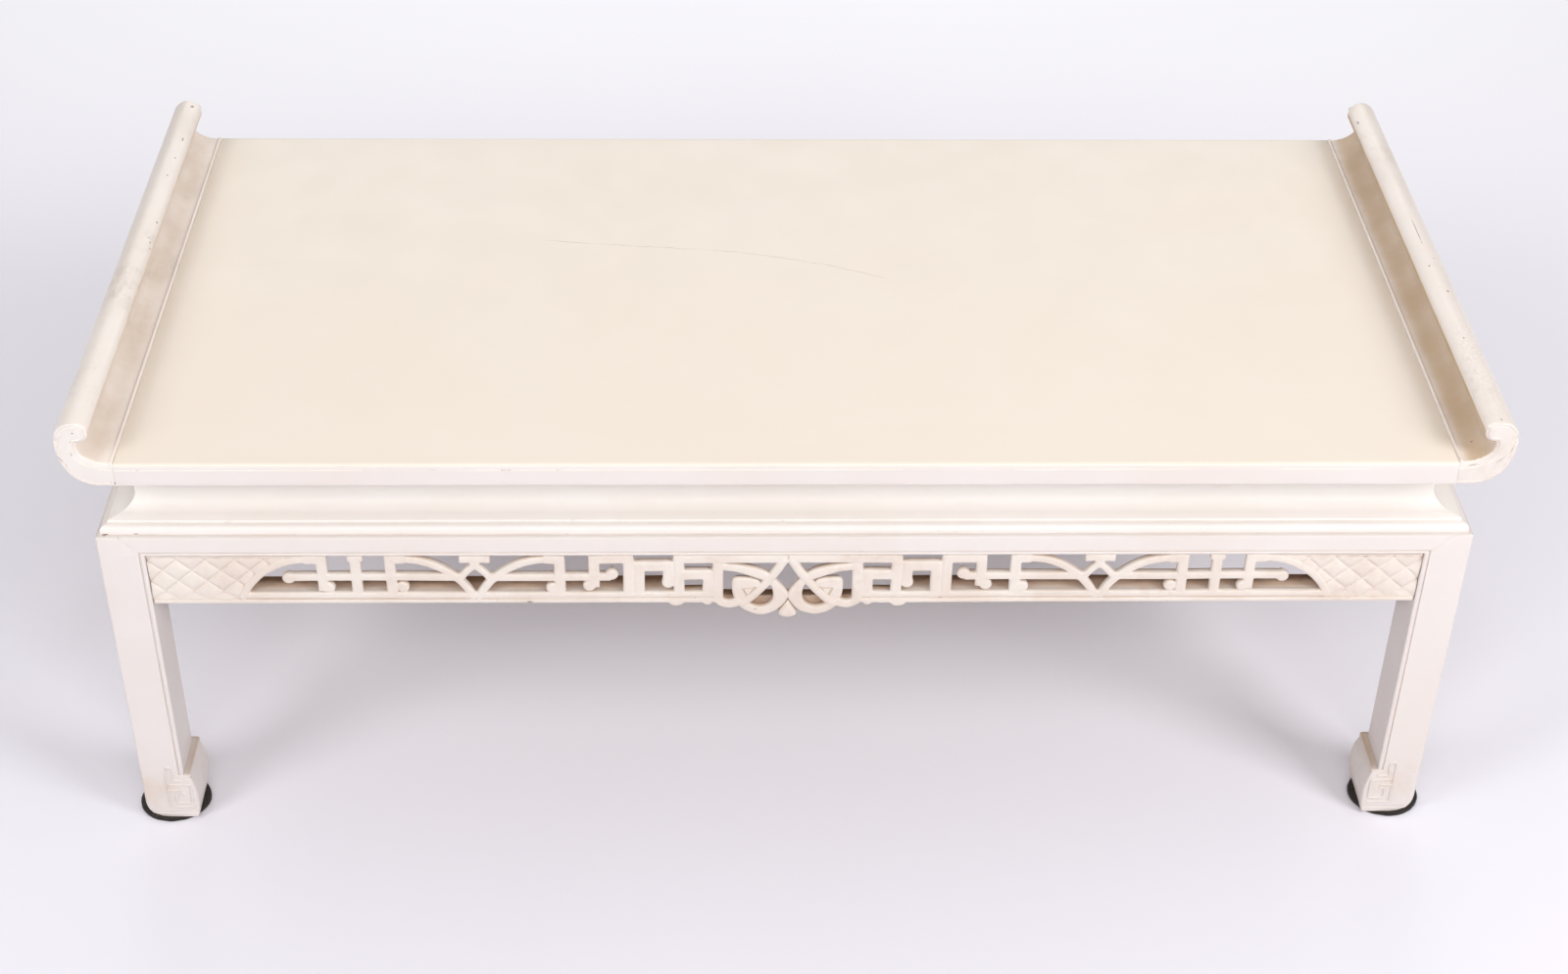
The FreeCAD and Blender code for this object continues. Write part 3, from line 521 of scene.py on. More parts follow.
def agedLacquer(name, tones, marks=(), cracks=None, webPlace=None):
    # Ivory lacquer over brown wood: faintly mottled, with painted shade in the hollows, edges rubbed and lightened as
    # partly real wear and partly a painted highlight, a few marks.
    material, coords = startMaterial(name)
    look = dict(lacquerLook, **tones.get("look", {}))
    cloud = noised(coords, 21.0, 5, 0.65)
    streak = noised(stretched(coords, look["streakScale"]), 1.0, 4, 0.6)
    colour = mixed(ranged(noised(coords, look["mottleScale"], 4, 0.6, 0.4), 0.36, 0.66), tones["base"], tones["warm"])
    colour = mixed(ranged(cloud, 0.52, 0.78, 0.0, 0.5), colour, tones["cool"])
    colour = mixed(ranged(streak, 0.5, 0.75, 0.0, 0.3), colour, tones["warm"])
    if "grime" in tones:
        # Grey-brown handling marks in soft patches
        fine = ranged(noised(stretched(coords, (160.0, 45.0, 160.0)), 1.0, 4, 0.7), 0.38, 0.66)
        handled = times(ranged(noised(coords, 11.0, 5, 0.7), 0.47, 0.68), fine)
        colour = mixed(times(handled, look["grimeShare"]), colour, tones["grime"])
    # Painted shade in the hollows and corners, from ambient occlusion; then toning and bare brown wood where the
    # stored attribute is high, which holds real bare wood on the fret and painted shade in the scroll troughs and on
    # the legs' inner ledges
    clear = openness(look["hollowShadeDistance"])
    hollowShade = ranged(worked("ADD", clear, ranged(cloud, 0.3, 0.7, -0.12, 0.12)), 0.7, 0.25)
    colour = mixed(times(hollowShade, 0.5), colour, tones["toned"])
    # This attribute carries real bare wood and also painted shade, so the browning below is partly painted shade
    age = addNode("ShaderNodeAttribute", out="Fac", attribute_name="age")
    wornAndShaded = worked("ADD", age, ranged(cloud, 0.25, 0.75, -look["ageNoise"], look["ageNoise"]))
    colour = mixed(ranged(wornAndShaded, 0.05, 0.5), colour, tones["toned"])
    colour = mixed(ranged(wornAndShaded, 0.45, 0.85, 0.0, 0.9), colour, tones["bare"])
    # Lighter colour where an edge stands out, partly real wear and partly a painted highlight, with brown wood in the
    # deepest rubs
    bent = addNode("ShaderNodeBevel", {"Radius": look["wearRadius"]}, samples=6)
    normal = addNode("ShaderNodeNewGeometry", out="Normal")
    straight = addNode("ShaderNodeVectorMath", {0: bent, 1: normal}, "Value", operation="DOT_PRODUCT")
    edge = times(ranged(straight, 0.995, 0.86), ranged(clear, 0.72, 0.9))
    rub = noised(coords, 55.0, 4, 0.7)
    colour = mixed(times(edge, ranged(rub, 0.4, 0.6, 0.15, 0.6)), colour, tones["rubbed"])
    deep = times(ranged(straight, 0.99, 0.9), ranged(rub, 0.63, 0.70))
    colour = mixed(times(deep, 0.75), colour, tones["wood"])
    # Small dark specks, then marks, cracks and a rubbed place with fine crackle
    specks = addNode("ShaderNodeTexVoronoi", {"Vector": coords, "Scale": look["speckScale"]}, feature="F1")
    chosen = ranged(noised(coords, 13.0, 2), look["speckShare"], look["speckShare"] + 0.04)
    line = times(times(ranged(specks, 0.035, 0.015), chosen), 0.7)
    if marks:
        line = worked("MAXIMUM", line, marked(coords, marks))
    if cracks:
        broken = times(ranged(rub, 0.35, 0.6, 0.25, 1.0), look["crackShare"])
        line = worked("MAXIMUM", line, times(crackLine(coords, cracks, 0.0006), broken))
    if webPlace:
        web = addNode("ShaderNodeTexVoronoi", {"Vector": bentVector(coords, 60.0, 0.006), "Scale": 210.0},
                      feature="DISTANCE_TO_EDGE")
        web = times(ranged(web, 0.06, 0.015), ranged(nearness(coords, webPlace), 1.3, 0.5))
        line = worked("MAXIMUM", line, times(web, look["webShare"]))
    spread = look["roughSpread"]
    rough = ranged(cloud, 0.25, 0.75, look["roughness"] - spread, look["roughness"] + spread)
    grain = noised(stretched(coords, (60.0, 420.0, 420.0)), 1.0, 3, 0.6)
    pits = noised(coords, 130.0, 3, 0.6)
    height = worked("SUBTRACT", worked("ADD", times(grain, 0.25), times(pits, 0.35)), times(line, 1.2))
    return endMaterial(material, {"Base Color": mixed(line, colour, tones["wood"]), "Specular IOR Level": 0.42,
                                  "Roughness": worked("ADD", rough, times(wornAndShaded, 0.2))},
                       (height, look["bumpDistance"]), 0.35)


def bareWood(name, light, dark, deep):
    material, coords = startMaterial(name)
    grain = noised(stretched(coords, (5.0, 90.0, 90.0)), 1.0, 5, 0.65, 0.6)
    colour = mixed(ranged(grain, 0.35, 0.68), light, dark)
    colour = mixed(ranged(noised(coords, 8.0, 3), 0.4, 0.7, 0.0, 0.5), colour, dark)
    # Painted shade: the wood is darker in hollows and corners, from ambient occlusion
    colour = mixed(ranged(openness(0.02), 0.7, 0.25, 0.0, 0.6), colour, deep)
    return endMaterial(material, {"Base Color": colour, "Roughness": ranged(grain, 0.3, 0.7, 0.62, 0.82)},
                       (grain, 0.0006))


def blackFelt():
    material, coords = startMaterial("blackFelt")
    fuzz = noised(coords, 900.0, 4, 0.75)
    lint = noised(stretched(coords, (260.0, 260.0, 900.0)), 1.0, 3, 0.7, 1.5)
    colour = mixed(ranged(fuzz, 0.3, 0.75), (0.009, 0.007, 0.006), (0.048, 0.036, 0.028))
    colour = mixed(ranged(lint, 0.56, 0.74, 0.0, 0.6), colour, (0.19, 0.15, 0.12))
    return endMaterial(material, {"Base Color": colour, "Roughness": ranged(fuzz, 0.3, 0.7, 0.86, 0.98),
                                  "Specular IOR Level": 0.15, "Sheen Weight": 0.15}, (fuzz, 0.0012), 0.9)


def agedSteel():
    material, coords = startMaterial("agedSteel")
    rust = noised(coords, 320.0, 4, 0.7)
    colour = mixed(ranged(rust, 0.45, 0.62), (0.32, 0.31, 0.29), (0.11, 0.05, 0.025))
    return endMaterial(material, {"Base Color": colour, "Metallic": ranged(rust, 0.4, 0.65, 1.0, 0.15),
                                  "Roughness": ranged(rust, 0.4, 0.65, 0.35, 0.85)}, (rust, 0.0003))


def tonesOf(base, warm, cool, **more):
    return dict(faceTones, base=base, warm=warm, cool=cool, **more)


# These tone sets are lit and shaded copies of one ivory paint: the faces, fret and mouldings are painted darker and
# the top, waist and scroll lighter, as painted light and shade
faceTones = {"base": (0.725, 0.67, 0.645), "warm": (0.705, 0.64, 0.60), "cool": (0.735, 0.685, 0.67),
             "toned": (0.60, 0.44, 0.33), "rubbed": (0.82, 0.78, 0.75), "wood": (0.16, 0.075, 0.04),
             "bare": (0.22, 0.12, 0.068)}
fretTones = tonesOf((0.735, 0.665, 0.605), (0.69, 0.595, 0.525), (0.755, 0.70, 0.665), grime=(0.62, 0.495, 0.41),
                    bare=(0.17, 0.092, 0.05), look={"mottleScale": 14.0})
topTones = tonesOf((0.885, 0.787, 0.683), (0.88, 0.775, 0.665), (0.89, 0.80, 0.70),
                   look={"speckShare": 0.7, "roughSpread": 0.03, "ageNoise": 0.05})
waistTones = tonesOf((0.865, 0.825, 0.79), (0.845, 0.795, 0.75), (0.87, 0.835, 0.81))
mouldingTones = tonesOf((0.815, 0.765, 0.735), (0.79, 0.73, 0.69), (0.825, 0.78, 0.76))
scrollTones = tonesOf((0.915, 0.83, 0.77), (0.89, 0.795, 0.72), (0.92, 0.85, 0.81), toned=(0.61, 0.45, 0.30),
                      grime=(0.66, 0.57, 0.51), look={"ageNoise": 0.05})
scrollFaceTones = tonesOf((0.74, 0.69, 0.655), (0.70, 0.63, 0.58), (0.75, 0.705, 0.68), grime=(0.62, 0.53, 0.47),
                          look={"grimeShare": 0.35})
# Marks as place, half sizes and, for some, a turn about Y, in millimetres and degrees
cornerMarks = ((-585.2, -273.4, 333.9, 3.6, 2.5, 1.0), (-558.5, -273.2, 333.9, 3.2, 2.5, 0.7))
sillMarks = ((-225.4, -275.6, 259.9, 3.6, 2.5, 1.7),)
seamMarks = ((-410.0, -273.0, 340.5, 1.0, 2.0, 0.5), (-330.0, -272.6, 341.4, 0.8, 2.0, 0.5),
             (-128.0, -273.0, 340.4, 1.2, 2.0, 0.4), (122.0, -272.8, 341.0, 0.9, 2.0, 0.5),
             (333.0, -273.0, 340.2, 1.1, 2.0, 0.4))
edgeMarks = tuple((x, -283.7, 409.4, half, 3.0, rise) for x, half, rise in (
    (-542.7, 2.6, 0.35), (-477.0, 5.0, 0.3), (-300.0, 4.0, 0.25), (-120.0, 3.0, 0.25), (210.0, 4.5, 0.25)))
jointDashes = tuple((x, -275.2, 335.4, half, 3.0, 0.45) for x, half in (
    (104.0, 1.0), (129.0, 3.0), (147.5, 9.5), (166.5, 3.5)))
fretMarks = sillMarks + ((-24.4, -275.2, 257.0, 2.4, 3.0, 0.7, 32), (-21.8, -274.5, 259.4, 0.8, 2.5, 0.7),
                         (-28.2, -275.2, 251.8, 1.6, 3.0, 0.6, 20), (-66.8, -275.5, 255.4, 0.8, 2.5, 0.6),
                         (24.0, -275.0, 255.2, 1.0, 2.5, 0.5))
rollMarks = ((592.9, 30.0, 456.0, 0.5, 31.0, 2.5), (590.3, -32.7, 455.8, 1.0, 1.6, 2.0),
             (597.9, -19.4, 455.5, 1.4, 0.6, 2.0), (597.0, -76.0, 455.7, 1.2, 2.4, 2.0),
             (592.2, -153.5, 456.1, 0.9, 2.0, 2.0), (583.8, 245.9, 453.0, 0.9, 3.4, 2.0),
             (593.4, -277.5, 456.0, 0.7, 2.2, 2.0), (581.0, -255.2, 417.0, 1.6, 1.0, 2.5),
             (-586.5, 205.4, 454.6, 0.8, 5.0, 2.0), (-586.9, 167.2, 454.8, 1.3, 1.8, 2.0),
             (-588.2, 132.7, 455.3, 1.0, 1.6, 2.0), (-583.3, 48.3, 452.6, 0.8, 1.8, 2.0),
             (-585.5, 18.5, 454.1, 1.6, 0.8, 2.0), (-583.0, 12.5, 452.4, 0.8, 1.4, 2.0),
             (-581.4, 4.0, 451.0, 0.8, 1.2, 2.0), (-588.2, 271.9, 455.3, 2.4, 3.0, 2.0))
scrollFaceMarks = tuple((x, -283.7, z, a, 2.5, c, turn) for x, z, a, c, turn in (
    (-605.2, 418.5, 0.5, 8.0, -33), (-593.0, 447.5, 1.1, 0.9, 0), (-580.7, 450.4, 1.6, 0.5, 0),
    (-593.2, 432.0, 0.6, 4.0, -20), (576.0, 412.9, 5.5, 0.4, -14), (598.6, 418.6, 0.45, 6.0, 48),
    (606.4, 431.5, 0.4, 6.5, 14), (-568.1, 396.5, 0.5, 1.4, 0)))
topCrack = ((-0.224, 0.0806), (-0.1845, 0.0752), (-0.1377, 0.0698), (-0.091, 0.0645), (-0.0444, 0.0592),
            (-0.0074, 0.0503), (0.0294, 0.0397), (0.0658, 0.0256), (0.0972, 0.01))
crackledPlace = (597.0, -185.0, 452.0, 14.0, 85.0, 14.0)
lacquerFace = agedLacquer("ivoryLacquer", faceTones, cornerMarks + sillMarks + seamMarks + edgeMarks)
lacquerFret = agedLacquer("ivoryLacquerFret", fretTones, fretMarks)
lacquerWaist = agedLacquer("ivoryLacquerWaist", waistTones)
lacquerMoulding = agedLacquer("ivoryLacquerMoulding", mouldingTones, cornerMarks + seamMarks + jointDashes)
lacquerTop = agedLacquer("ivoryLacquerTop", topTones, (), topCrack)
lacquerScrollFace = agedLacquer("ivoryLacquerScrollFace", scrollFaceTones, scrollFaceMarks)
lacquerScroll = agedLacquer("ivoryLacquerScroll", scrollTones, rollMarks, None, crackledPlace)
woodInside = bareWood("bareWoodInside", (0.30, 0.165, 0.085), (0.15, 0.075, 0.038), (0.05, 0.026, 0.014))
feltBlack = blackFelt()
steelAged = agedSteel()
print("materials made")

# Top board
boardShape = {"bandRadius": 4.6, "bandSteps": 7, "quirkDrop": 5.4, "quirkDepth": 0.32, "quirkWidth": 0.7,
              "footRadius": 0.8, "footRise": 6.0, "alongSteps": 60, "acrossSteps": 14, "endGap": 0.15,
              "easeLength": 0.5, "easeDrop": 0.2, "easeIn": 0.15, "easeRim": 1.0, "easeBand": 6.0}


def makeBoard():
    s = boardShape
    flat, quirk, under = halfDepth - s["bandRadius"], boardTop - s["quirkDrop"], boardUnderside
    # Half of the section, from the middle of the top to the middle of the underside
    half = [(flat * k / s["acrossSteps"], boardTop) for k in range(s["acrossSteps"])]
    half += quarterPoints((flat, boardTop), (halfDepth, boardTop), (halfDepth, boardTop - s["bandRadius"]),
                          s["bandSteps"])
    half += [(halfDepth, quirk + s["quirkWidth"] / 2), (halfDepth - s["quirkDepth"], quirk),
             (halfDepth, quirk - s["quirkWidth"] / 2), (halfDepth, under + s["footRise"])]
    half += quarterPoints((halfDepth, under + s["footRadius"]), (halfDepth, under),
                          (halfDepth - s["footRadius"], under), 3)
    section = half + [(-y, z) for y, z in half[::-1][:-1]]
    end, steps = halfBoard - s["endGap"], s["alongSteps"]
    xs = [-end, s["easeLength"] - end] + [end * (2 * k / steps - 1) for k in range(1, steps)]
    rings = [[(x, y, z) for y, z in section] for x in xs + [end - s["easeLength"], end]]
    # Both ends are eased a little, which leaves a fine line beside each scroll end
    for ring, x in ((0, -end), (-1, end)):
        rings[ring] = [(x, y - math.copysign(s["easeIn"], y) if abs(y) > halfDepth - s["easeRim"] else y,
                        z - s["easeDrop"] if z > boardTop - s["easeBand"] else z) for y, z in section]
    board = makePiece("top_board", gathered([loft(rings)]), [lacquerTop, woodInside, lacquerFace])
    # Painted light and shade: the top takes the lighter lacquer and the front and back edges the darker copy
    paintFaces(board, lambda normal: 1 if normal.z < -0.8 else 2 if abs(normal.y) > 0.75 else 0)


makeBoard()
print("top board made")

# Scroll ends
scrollShape = {"rise": 41.5, "rollRadius": 16.6, "flat": 12.0, "curveRise": 40.7, "beadWidth": 3.4, "beadRise": 1.6,
               "troughWidth": 24.6, "wallRise": 17.4, "curlRadius": 8.6, "curlIn": 3.0, "curlUp": 5.0,
               "lip": 42.0, "curlStart": 25.0, "curlEnd": 12.0, "outerBend": 31.0, "troughBend": 32.0,
               "crispIn": 22, "crispRise": 26, "cell": 0.45, "wallSteps": 30, "rollCuts": (13.5, 9.0),
               "ageMiddle": 582, "ageHalf": 16, "ageLow": 414, "ageHigh": 446, "ageReach": 280, "ageLeft": 0.24,
               "ageRight": 0.46}
troughBand = {"inset": (0.0, 0.3, 1.0, 2.2, 3.4, 4.3, 4.75, 5.2), "drop": (4.6, 2.95, 1.75, 0.75, 0.2, 0.1, 0.6, 0.0)}
outerBand = {"inset": (0.0, 0.35, 1.0, 2.7, 3.1, 3.5), "drop": (1.0, 0.35, 0.0, 0.0, 0.55, 0.0)}
jointBand = {"inset": (0.0, 0.35), "drop": (0.2, 0.0)}


def scrollOutline():
    # The outline of the right-hand scroll end as its upper and its outer line, in X and Z.
    s = scrollShape
    left, right, top, under = halfBoard, halfLength, boardTop, boardUnderside
    roll = (right - s["rollRadius"], top + s["rise"] - s["rollRadius"])
    curl = (roll[0] - s["curlIn"], roll[1] + s["curlUp"])
    lip = pointAt(roll, s["rollRadius"], 180 - s["lip"])
    curlTurns = (180 - s["curlStart"], 180 + s["curlStart"], 270 + s["curlEnd"])
    beadEnd = (left + s["beadWidth"], top)
    wallTop = (beadEnd[0] + s["troughWidth"], top + s["wallRise"])
    upper = arcPoints((right, roll[1]), pointAt(roll, s["rollRadius"], 90 - s["lip"] / 2), lip, 40)
    upper += arcPoints(*(pointAt(curl, s["curlRadius"], turn) for turn in curlTurns), 22)
    upper += bendPoints(beadEnd, wallTop, s["troughBend"], 18)[::-1]
    upper += arcPoints(beadEnd, (left + s["beadWidth"] / 2, top + s["beadRise"]), (left, top), 8)
    outer = bendPoints((left + s["flat"], under), (right, under + s["curveRise"]), s["outerBend"], 26)
    return upper, [(left, under)] + outer + [(right, roll[1])]


def troughShade(co):
    # Painted shade in the trough, deepest under the curl and stronger in the right-hand scroll end.
    s = scrollShape
    inner = max(1 - ((abs(co.x) - s["ageMiddle"]) / s["ageHalf"]) ** 2, 0)
    inside = s["ageLow"] < co.z < s["ageHigh"] and abs(co.y) < s["ageReach"]
    return s["ageLeft" if co.x < 0 else "ageRight"] * inner if inside else 0.0


def makeScrollEnds():
    s = scrollShape
    upper, outer = scrollOutline()
    grid = fieldGrid(halfBoard - 3, halfLength + 3, boardUnderside - 3, boardTop + 45, s["cell"])
    px, pz = grid["px"], grid["pz"]
    joint = [(halfBoard, boardTop), (halfBoard, boardUnderside)]
    fields = [(pathField(px, pz, line, False), band)
              for line, band in ((upper, troughBand), (outer, outerBand), (joint, jointBand))]
    rollField = np.hypot(px - halfLength + s["rollRadius"], pz - boardTop - s["rise"] + s["rollRadius"])

    def drop(x, z):
        depth = np.zeros(len(x))
        for field, band in fields:
            away = np.abs(sample(grid, field, x, z))
            layer = np.interp(away, band["inset"], band["drop"])
            if band is troughBand:
                # Round the roll's outer side the edge is nearly crisp
                crisp = np.clip((z - boardTop - s["crispRise"]) / 6, 0, 1)
                crisp *= np.clip((x - halfBoard - s["crispIn"]) / 5, 0, 1)
                layer = layer * (1 - crisp) + np.interp(away, outerBand["inset"], outerBand["drop"]) * crisp
            depth = np.maximum(depth, layer)
        return depth

    cuts = [(field, level) for field, band in fields for level in band["inset"][1:]]
    cuts += [(rollField, level) for level in s["rollCuts"]]
    body = carved(grid, pathField(px, pz, upper + outer), cuts, lambda x, z: drop(x, z) - halfDepth,
                  lambda x, z: halfDepth - drop(x, z), 0.03, s["wallSteps"])
    for name, way in (("right", 1), ("left", -1)):
        piece = gathered([body], lambda v: (v[0] * way, v[1], v[2]))
        scroll = makePiece("scroll_end_" + name, piece, [lacquerScroll, lacquerScrollFace])
        # Painted light and shade: the flat front and back faces take a darker copy of the lacquer than the roll
        paintFaces(scroll, lambda normal: 1 if abs(normal.y) > 0.7 else 0)
        setAgeAndShade(scroll, troughShade)


makeScrollEnds()
print("scroll ends made")

# Waist, mouldings and rails. Each profile is given as y in from the frame's face and height.
runShape = {"alongLong": 56, "alongShort": 28, "back": 46.5, "lip": 10.7, "coveOut": 17.5, "coveFoot": 3.3,
            "coveRadius": 15.0, "wallRise": 34.0, "torusOut": 4.5, "torusFoot": 3.2, "torusRise": 8.3,
            "torusDepth": 5.0, "mouldingRise": 8.6, "beadIn": 1.4, "beadRise": 3.4, "quirkRise": 4.2,
            "quirkDepth": 0.25, "quirkTop": 4.5, "edge": 2.5, "railBack": 12.0, "coreFront": 11.8,
            "coreBack": 26.0, "chamfer": 0.6, "gap": 0.05}


def mitredRun(profile, half, steps, slant):
    # Rings of the profile along X. slant says how far each point's end lies inside the run's half length.
    shares = [2 * k / steps - 1 for k in range(steps + 1)]
    return loft([[(share * (half - slant(y, z)), y, z) for y, z in profile] for share in shares])


def waistProfile():
    s, foot, top, slope = runShape, waistFoot, boardUnderside - runShape["gap"], math.pi / 4
    out, radius, lip, rise = s["coveOut"], s["coveRadius"], s["lip"], s["coveFoot"] + s["coveRadius"]
    cove = arcPoints((out, foot + s["coveFoot"]),
                     (out + radius * math.sin(slope), foot + rise - radius * math.cos(slope)),
                     (out + radius, foot + rise), 12)
    edge = quarterPoints((lip, foot + 1.5), (lip, foot + 2.0), (lip + 0.6, foot + 2.1), 2)
    return [(lip, foot + s["gap"]), (lip, foot + 1.5)] + edge + cove + [
        (out + radius, foot + s["wallRise"]), (out + radius, top), (s["back"], top), (s["back"], foot + s["gap"])]


def mouldingProfile():
    s, low = runShape, frameTop + runShape["gap"]
    out, torus, top = s["torusOut"], low + s["torusRise"], low + s["mouldingRise"]
    curve = quarterPoints((out, low + s["torusFoot"]), (out, torus), (out + s["torusDepth"], torus), 8)
    return [(out, low)] + curve + [(s["lip"], top), (s["back"], top), (s["back"], low)]


def railProfile():
    s, low, top = runShape, railUnderside, frameTop
    bead = arcPoints((s["beadIn"], low), (0.0, low + s["beadRise"] / 2), (s["beadIn"], low + s["beadRise"]), 8)
    quirk = [(s["beadIn"], low + s["quirkRise"]), (s["quirkDepth"], low + s["quirkRise"]), (0.0, low + s["quirkTop"])]
    return bead + quirk + quarterPoints((0.0, top - s["edge"]), (0.0, top), (s["edge"], top), 6) + [
        (s["railBack"], top), (s["railBack"], low)]


def makeRuns():
    s, low = runShape, railUnderside
    under, top = low + s["gap"], frameTop - s["gap"]
    core = [(s["coreFront"], under), (s["coreFront"], top), (s["coreBack"], top),
            (s["coreBack"], low + s["chamfer"]), (s["coreBack"] - s["chamfer"], under)]
    for side in sideNames:
        distance, half, inner = sideSizes(side)
        steps = s["alongLong"] if side in ("front", "back") else s["alongShort"]
        away = Vector(onSide(side)((0, distance + 1, 0)))
        rail = [mitredRun(railProfile(), inner, steps, lambda y, z: low - z),
                mitredRun(core, inner - s["gap"], steps, lambda y, z: 0)]
        for node, bodies, skin in (
                ("waist_", [mitredRun(waistProfile(), half, steps, lambda y, z: y)], lacquerWaist),
                ("waist_moulding_", [mitredRun(mouldingProfile(), half, steps, lambda y, z: y)], lacquerMoulding),
                ("apron_rail_", rail, lacquerFace)):
            run = makePiece(node + side, gathered(bodies, onSide(side)), [skin, woodInside])
            paintFaces(run, lambda normal: 1 if normal.dot(away) > 0.8 else 0)


makeRuns()
print("waist, mouldings and rails made")

# Legs and feet, drawn from the leg's outer corner inwards
legShape = {"arris": 3.0, "bead": 4.0, "quirk": 0.9, "quirkDepth": 1.0, "mitre": 20.5, "topRadius": 2.5,
            "ledge": 57.0, "padTop": 4.0, "toe": 7.6, "swell": 9.6, "swellRise": 29.0, "cuff": 5.8,
            "heelIn": 8.5, "heelRise": 19.0, "heelTurn": 0.35, "heelReach": 20, "cornerSteps": 5, "groove": 9.0,
            "grooveDepth": 0.75, "grooveHalf": 0.85, "lap": 1.5, "postSteps": 14, "topSteps": 5, "ledgeAge": 0.3,
            "ledgeHalf": 1.5, "faceX": 553, "faceY": 229.6, "footAge": 0.13, "footAgeTop": 75, "footAgeFade": 25}


def legPlan():
    s, w, d = legShape, legWidth, legDepth
    bead, deep = s["bead"], s["quirkDepth"]
    edge = bead + s["quirk"]
    plan = quarterPoints((0, s["arris"]), (0, 0), (s["arris"], 0), s["cornerSteps"])
    plan += [(w - s["mitre"], 0), (w - edge, 0), (w - edge, deep), (w - bead, deep)]
    plan += arcPoints((w - bead, deep), (w - bead / 2, 0), (w, deep), 8)[1:]
    plan += [(w, 20.0), (w, d - 1.0), (w - 1.0, d), (20.0, d)]
    plan += arcPoints((deep, d), (0, d - bead / 2), (deep, d - bead), 8)
    return plan + [(deep, d - edge), (0, d - edge), (0, d - s["mitre"])]


def legBody():
    s, w, d, low, top = legShape, legWidth, legDepth, railUnderside, frameTop
    plan, radius, foot = legPlan(), s["topRadius"], s["ledge"] - s["lap"]
    post, rounds = s["postSteps"], s["topSteps"]
    rings = []
    heights = [foot + (low - s["ledge"] + s["lap"]) * k / post for k in range(post + 1)]
    heights += [top - radius + radius * math.sin(math.pi / 2 * k / rounds) for k in range(rounds + 1)]
    for height in heights:
        ring = []
        for x, y in plan:
            z = min(height, low + min(w - x, d - y), top)
            inset = radius - math.sqrt(max(radius ** 2 - max(z - (top - radius), 0) ** 2, 0))
            ring.append((max(x, inset), max(y, inset), z))
        rings.append(ring)
    verts, faces = loft(rings)
    # The flat top ends at the two mitres, which slope down to the leg's inner corner
    del faces[1]
    start, count, hip = (len(rings) - 1) * len(plan), len(plan), len(verts)
    verts += [(w - s["mitre"], d - s["mitre"], top), (w - 0.5, d - 0.5, low)]
    frontTop, sideTop, inner = (plan.index(p) for p in ((w - s["mitre"], 0), (0, d - s["mitre"]), (w, d - 1.0)))
    faces.append(tuple([start + i % count for i in range(sideTop, count + frontTop + 1)] + [hip]))
    faces.append(tuple([start + i for i in range(frontTop, inner + 1)] + [hip + 1, hip]))
    faces.append(tuple([start + i for i in range(inner + 1, sideTop + 1)] + [hip, hip + 1]))
    faces.append((start + inner, start + inner + 1, hip + 1))
    return verts, faces


def footRing(lowX, lowY, highX, highY, outer, inner, z):
    steps = legShape["cornerSteps"]
    ring = quarterPoints((lowX, lowY + outer), (lowX, lowY), (lowX + outer, lowY), steps)
    ring += [(lowX + (highX - lowX) * k / 4, lowY) for k in (1.4, 2.6)]
    ring += quarterPoints((highX - inner, lowY), (highX, lowY), (highX, lowY + inner), steps)
    ring += quarterPoints((highX, highY - inner), (highX, highY), (highX - inner, highY), steps)
    ring += quarterPoints((lowX + inner, highY), (lowX, highY), (lowX, highY - inner), steps)
    ring += [(lowX, lowY + (highY - lowY) * k / 4) for k in (2.6, 1.4)]
    return [(x, y, z) for x, y in ring]


def footBody():
    # The hoof: a cuff with a groove under it, a swell, and a turned-under sole.
    s, low, cuff = legShape, legShape["padTop"], legShape["cuff"]
    swell = arcPoints((s["toe"], low), (s["swell"], low + s["swellRise"]), (cuff, 52.0), 14)
    outs, rises = zip(*swell)
    heights = sorted(rises + tuple(s["groove"] + step for step in (-0.9, -0.4, 0.0, 0.4, 0.9)))
    side = [(s["toe"] - 1.0, low)] + [(float(np.interp(z, rises, outs)), z) for z in heights]
    side += [(cuff - 0.9, 52.5), (cuff - 0.9, 53.2), (cuff + 0.25, 53.6), (cuff + 0.3, 55.8), (cuff - 0.3, 56.7),
             (cuff - 1.2, 57.0), (-0.5, 57.0)]
    rings = []
    for out, z in side:
        rise = max(low + s["heelRise"] - z, 0) / s["heelRise"]
        heel = s["heelIn"] * (1 - math.sqrt(max(1 - rise ** 2, 0)))
        face = 0.02 + s["grooveDepth"] * max(0.0, 1 - abs(z - s["groove"]) / s["grooveHalf"])
        ring = footRing(face + heel, face, legWidth + out, legDepth + out, s["arris"] + heel * 0.4, 2.2, z)
        # The heel turns under on both outer sides, most at their shared corner
        rings.append([(x, y + heel * s["heelTurn"] * max(0, 1 - x / s["heelReach"]), z) for x, y, z in ring])
    return loft(rings)


# The raised key fret on both outward faces of a foot, as x in from the foot's outer edge and height
keyFretLines = (
    ((39.5, 49.8), (28.8, 50.2), (29.5, 60.5), (29.2, 65.0), (27.2, 66.9), (24.7, 66.0), (23.6, 62.5), (23.5, 47.0),
     (23.7, 16.7), (45.0, 16.7)),
    ((24.7, 44.7), (44.6, 44.6), (44.2, 21.9), (30.3, 22.2), (30.3, 32.0), (31.8, 35.0), (34.6, 34.4)),
    ((23.6, 38.1), (34.2, 38.2), (35.6, 34.0), (38.4, 32.0)))
keyFretShape = {"Width": 3.0, "Rise": 1.25, "Fillet": 1.6}


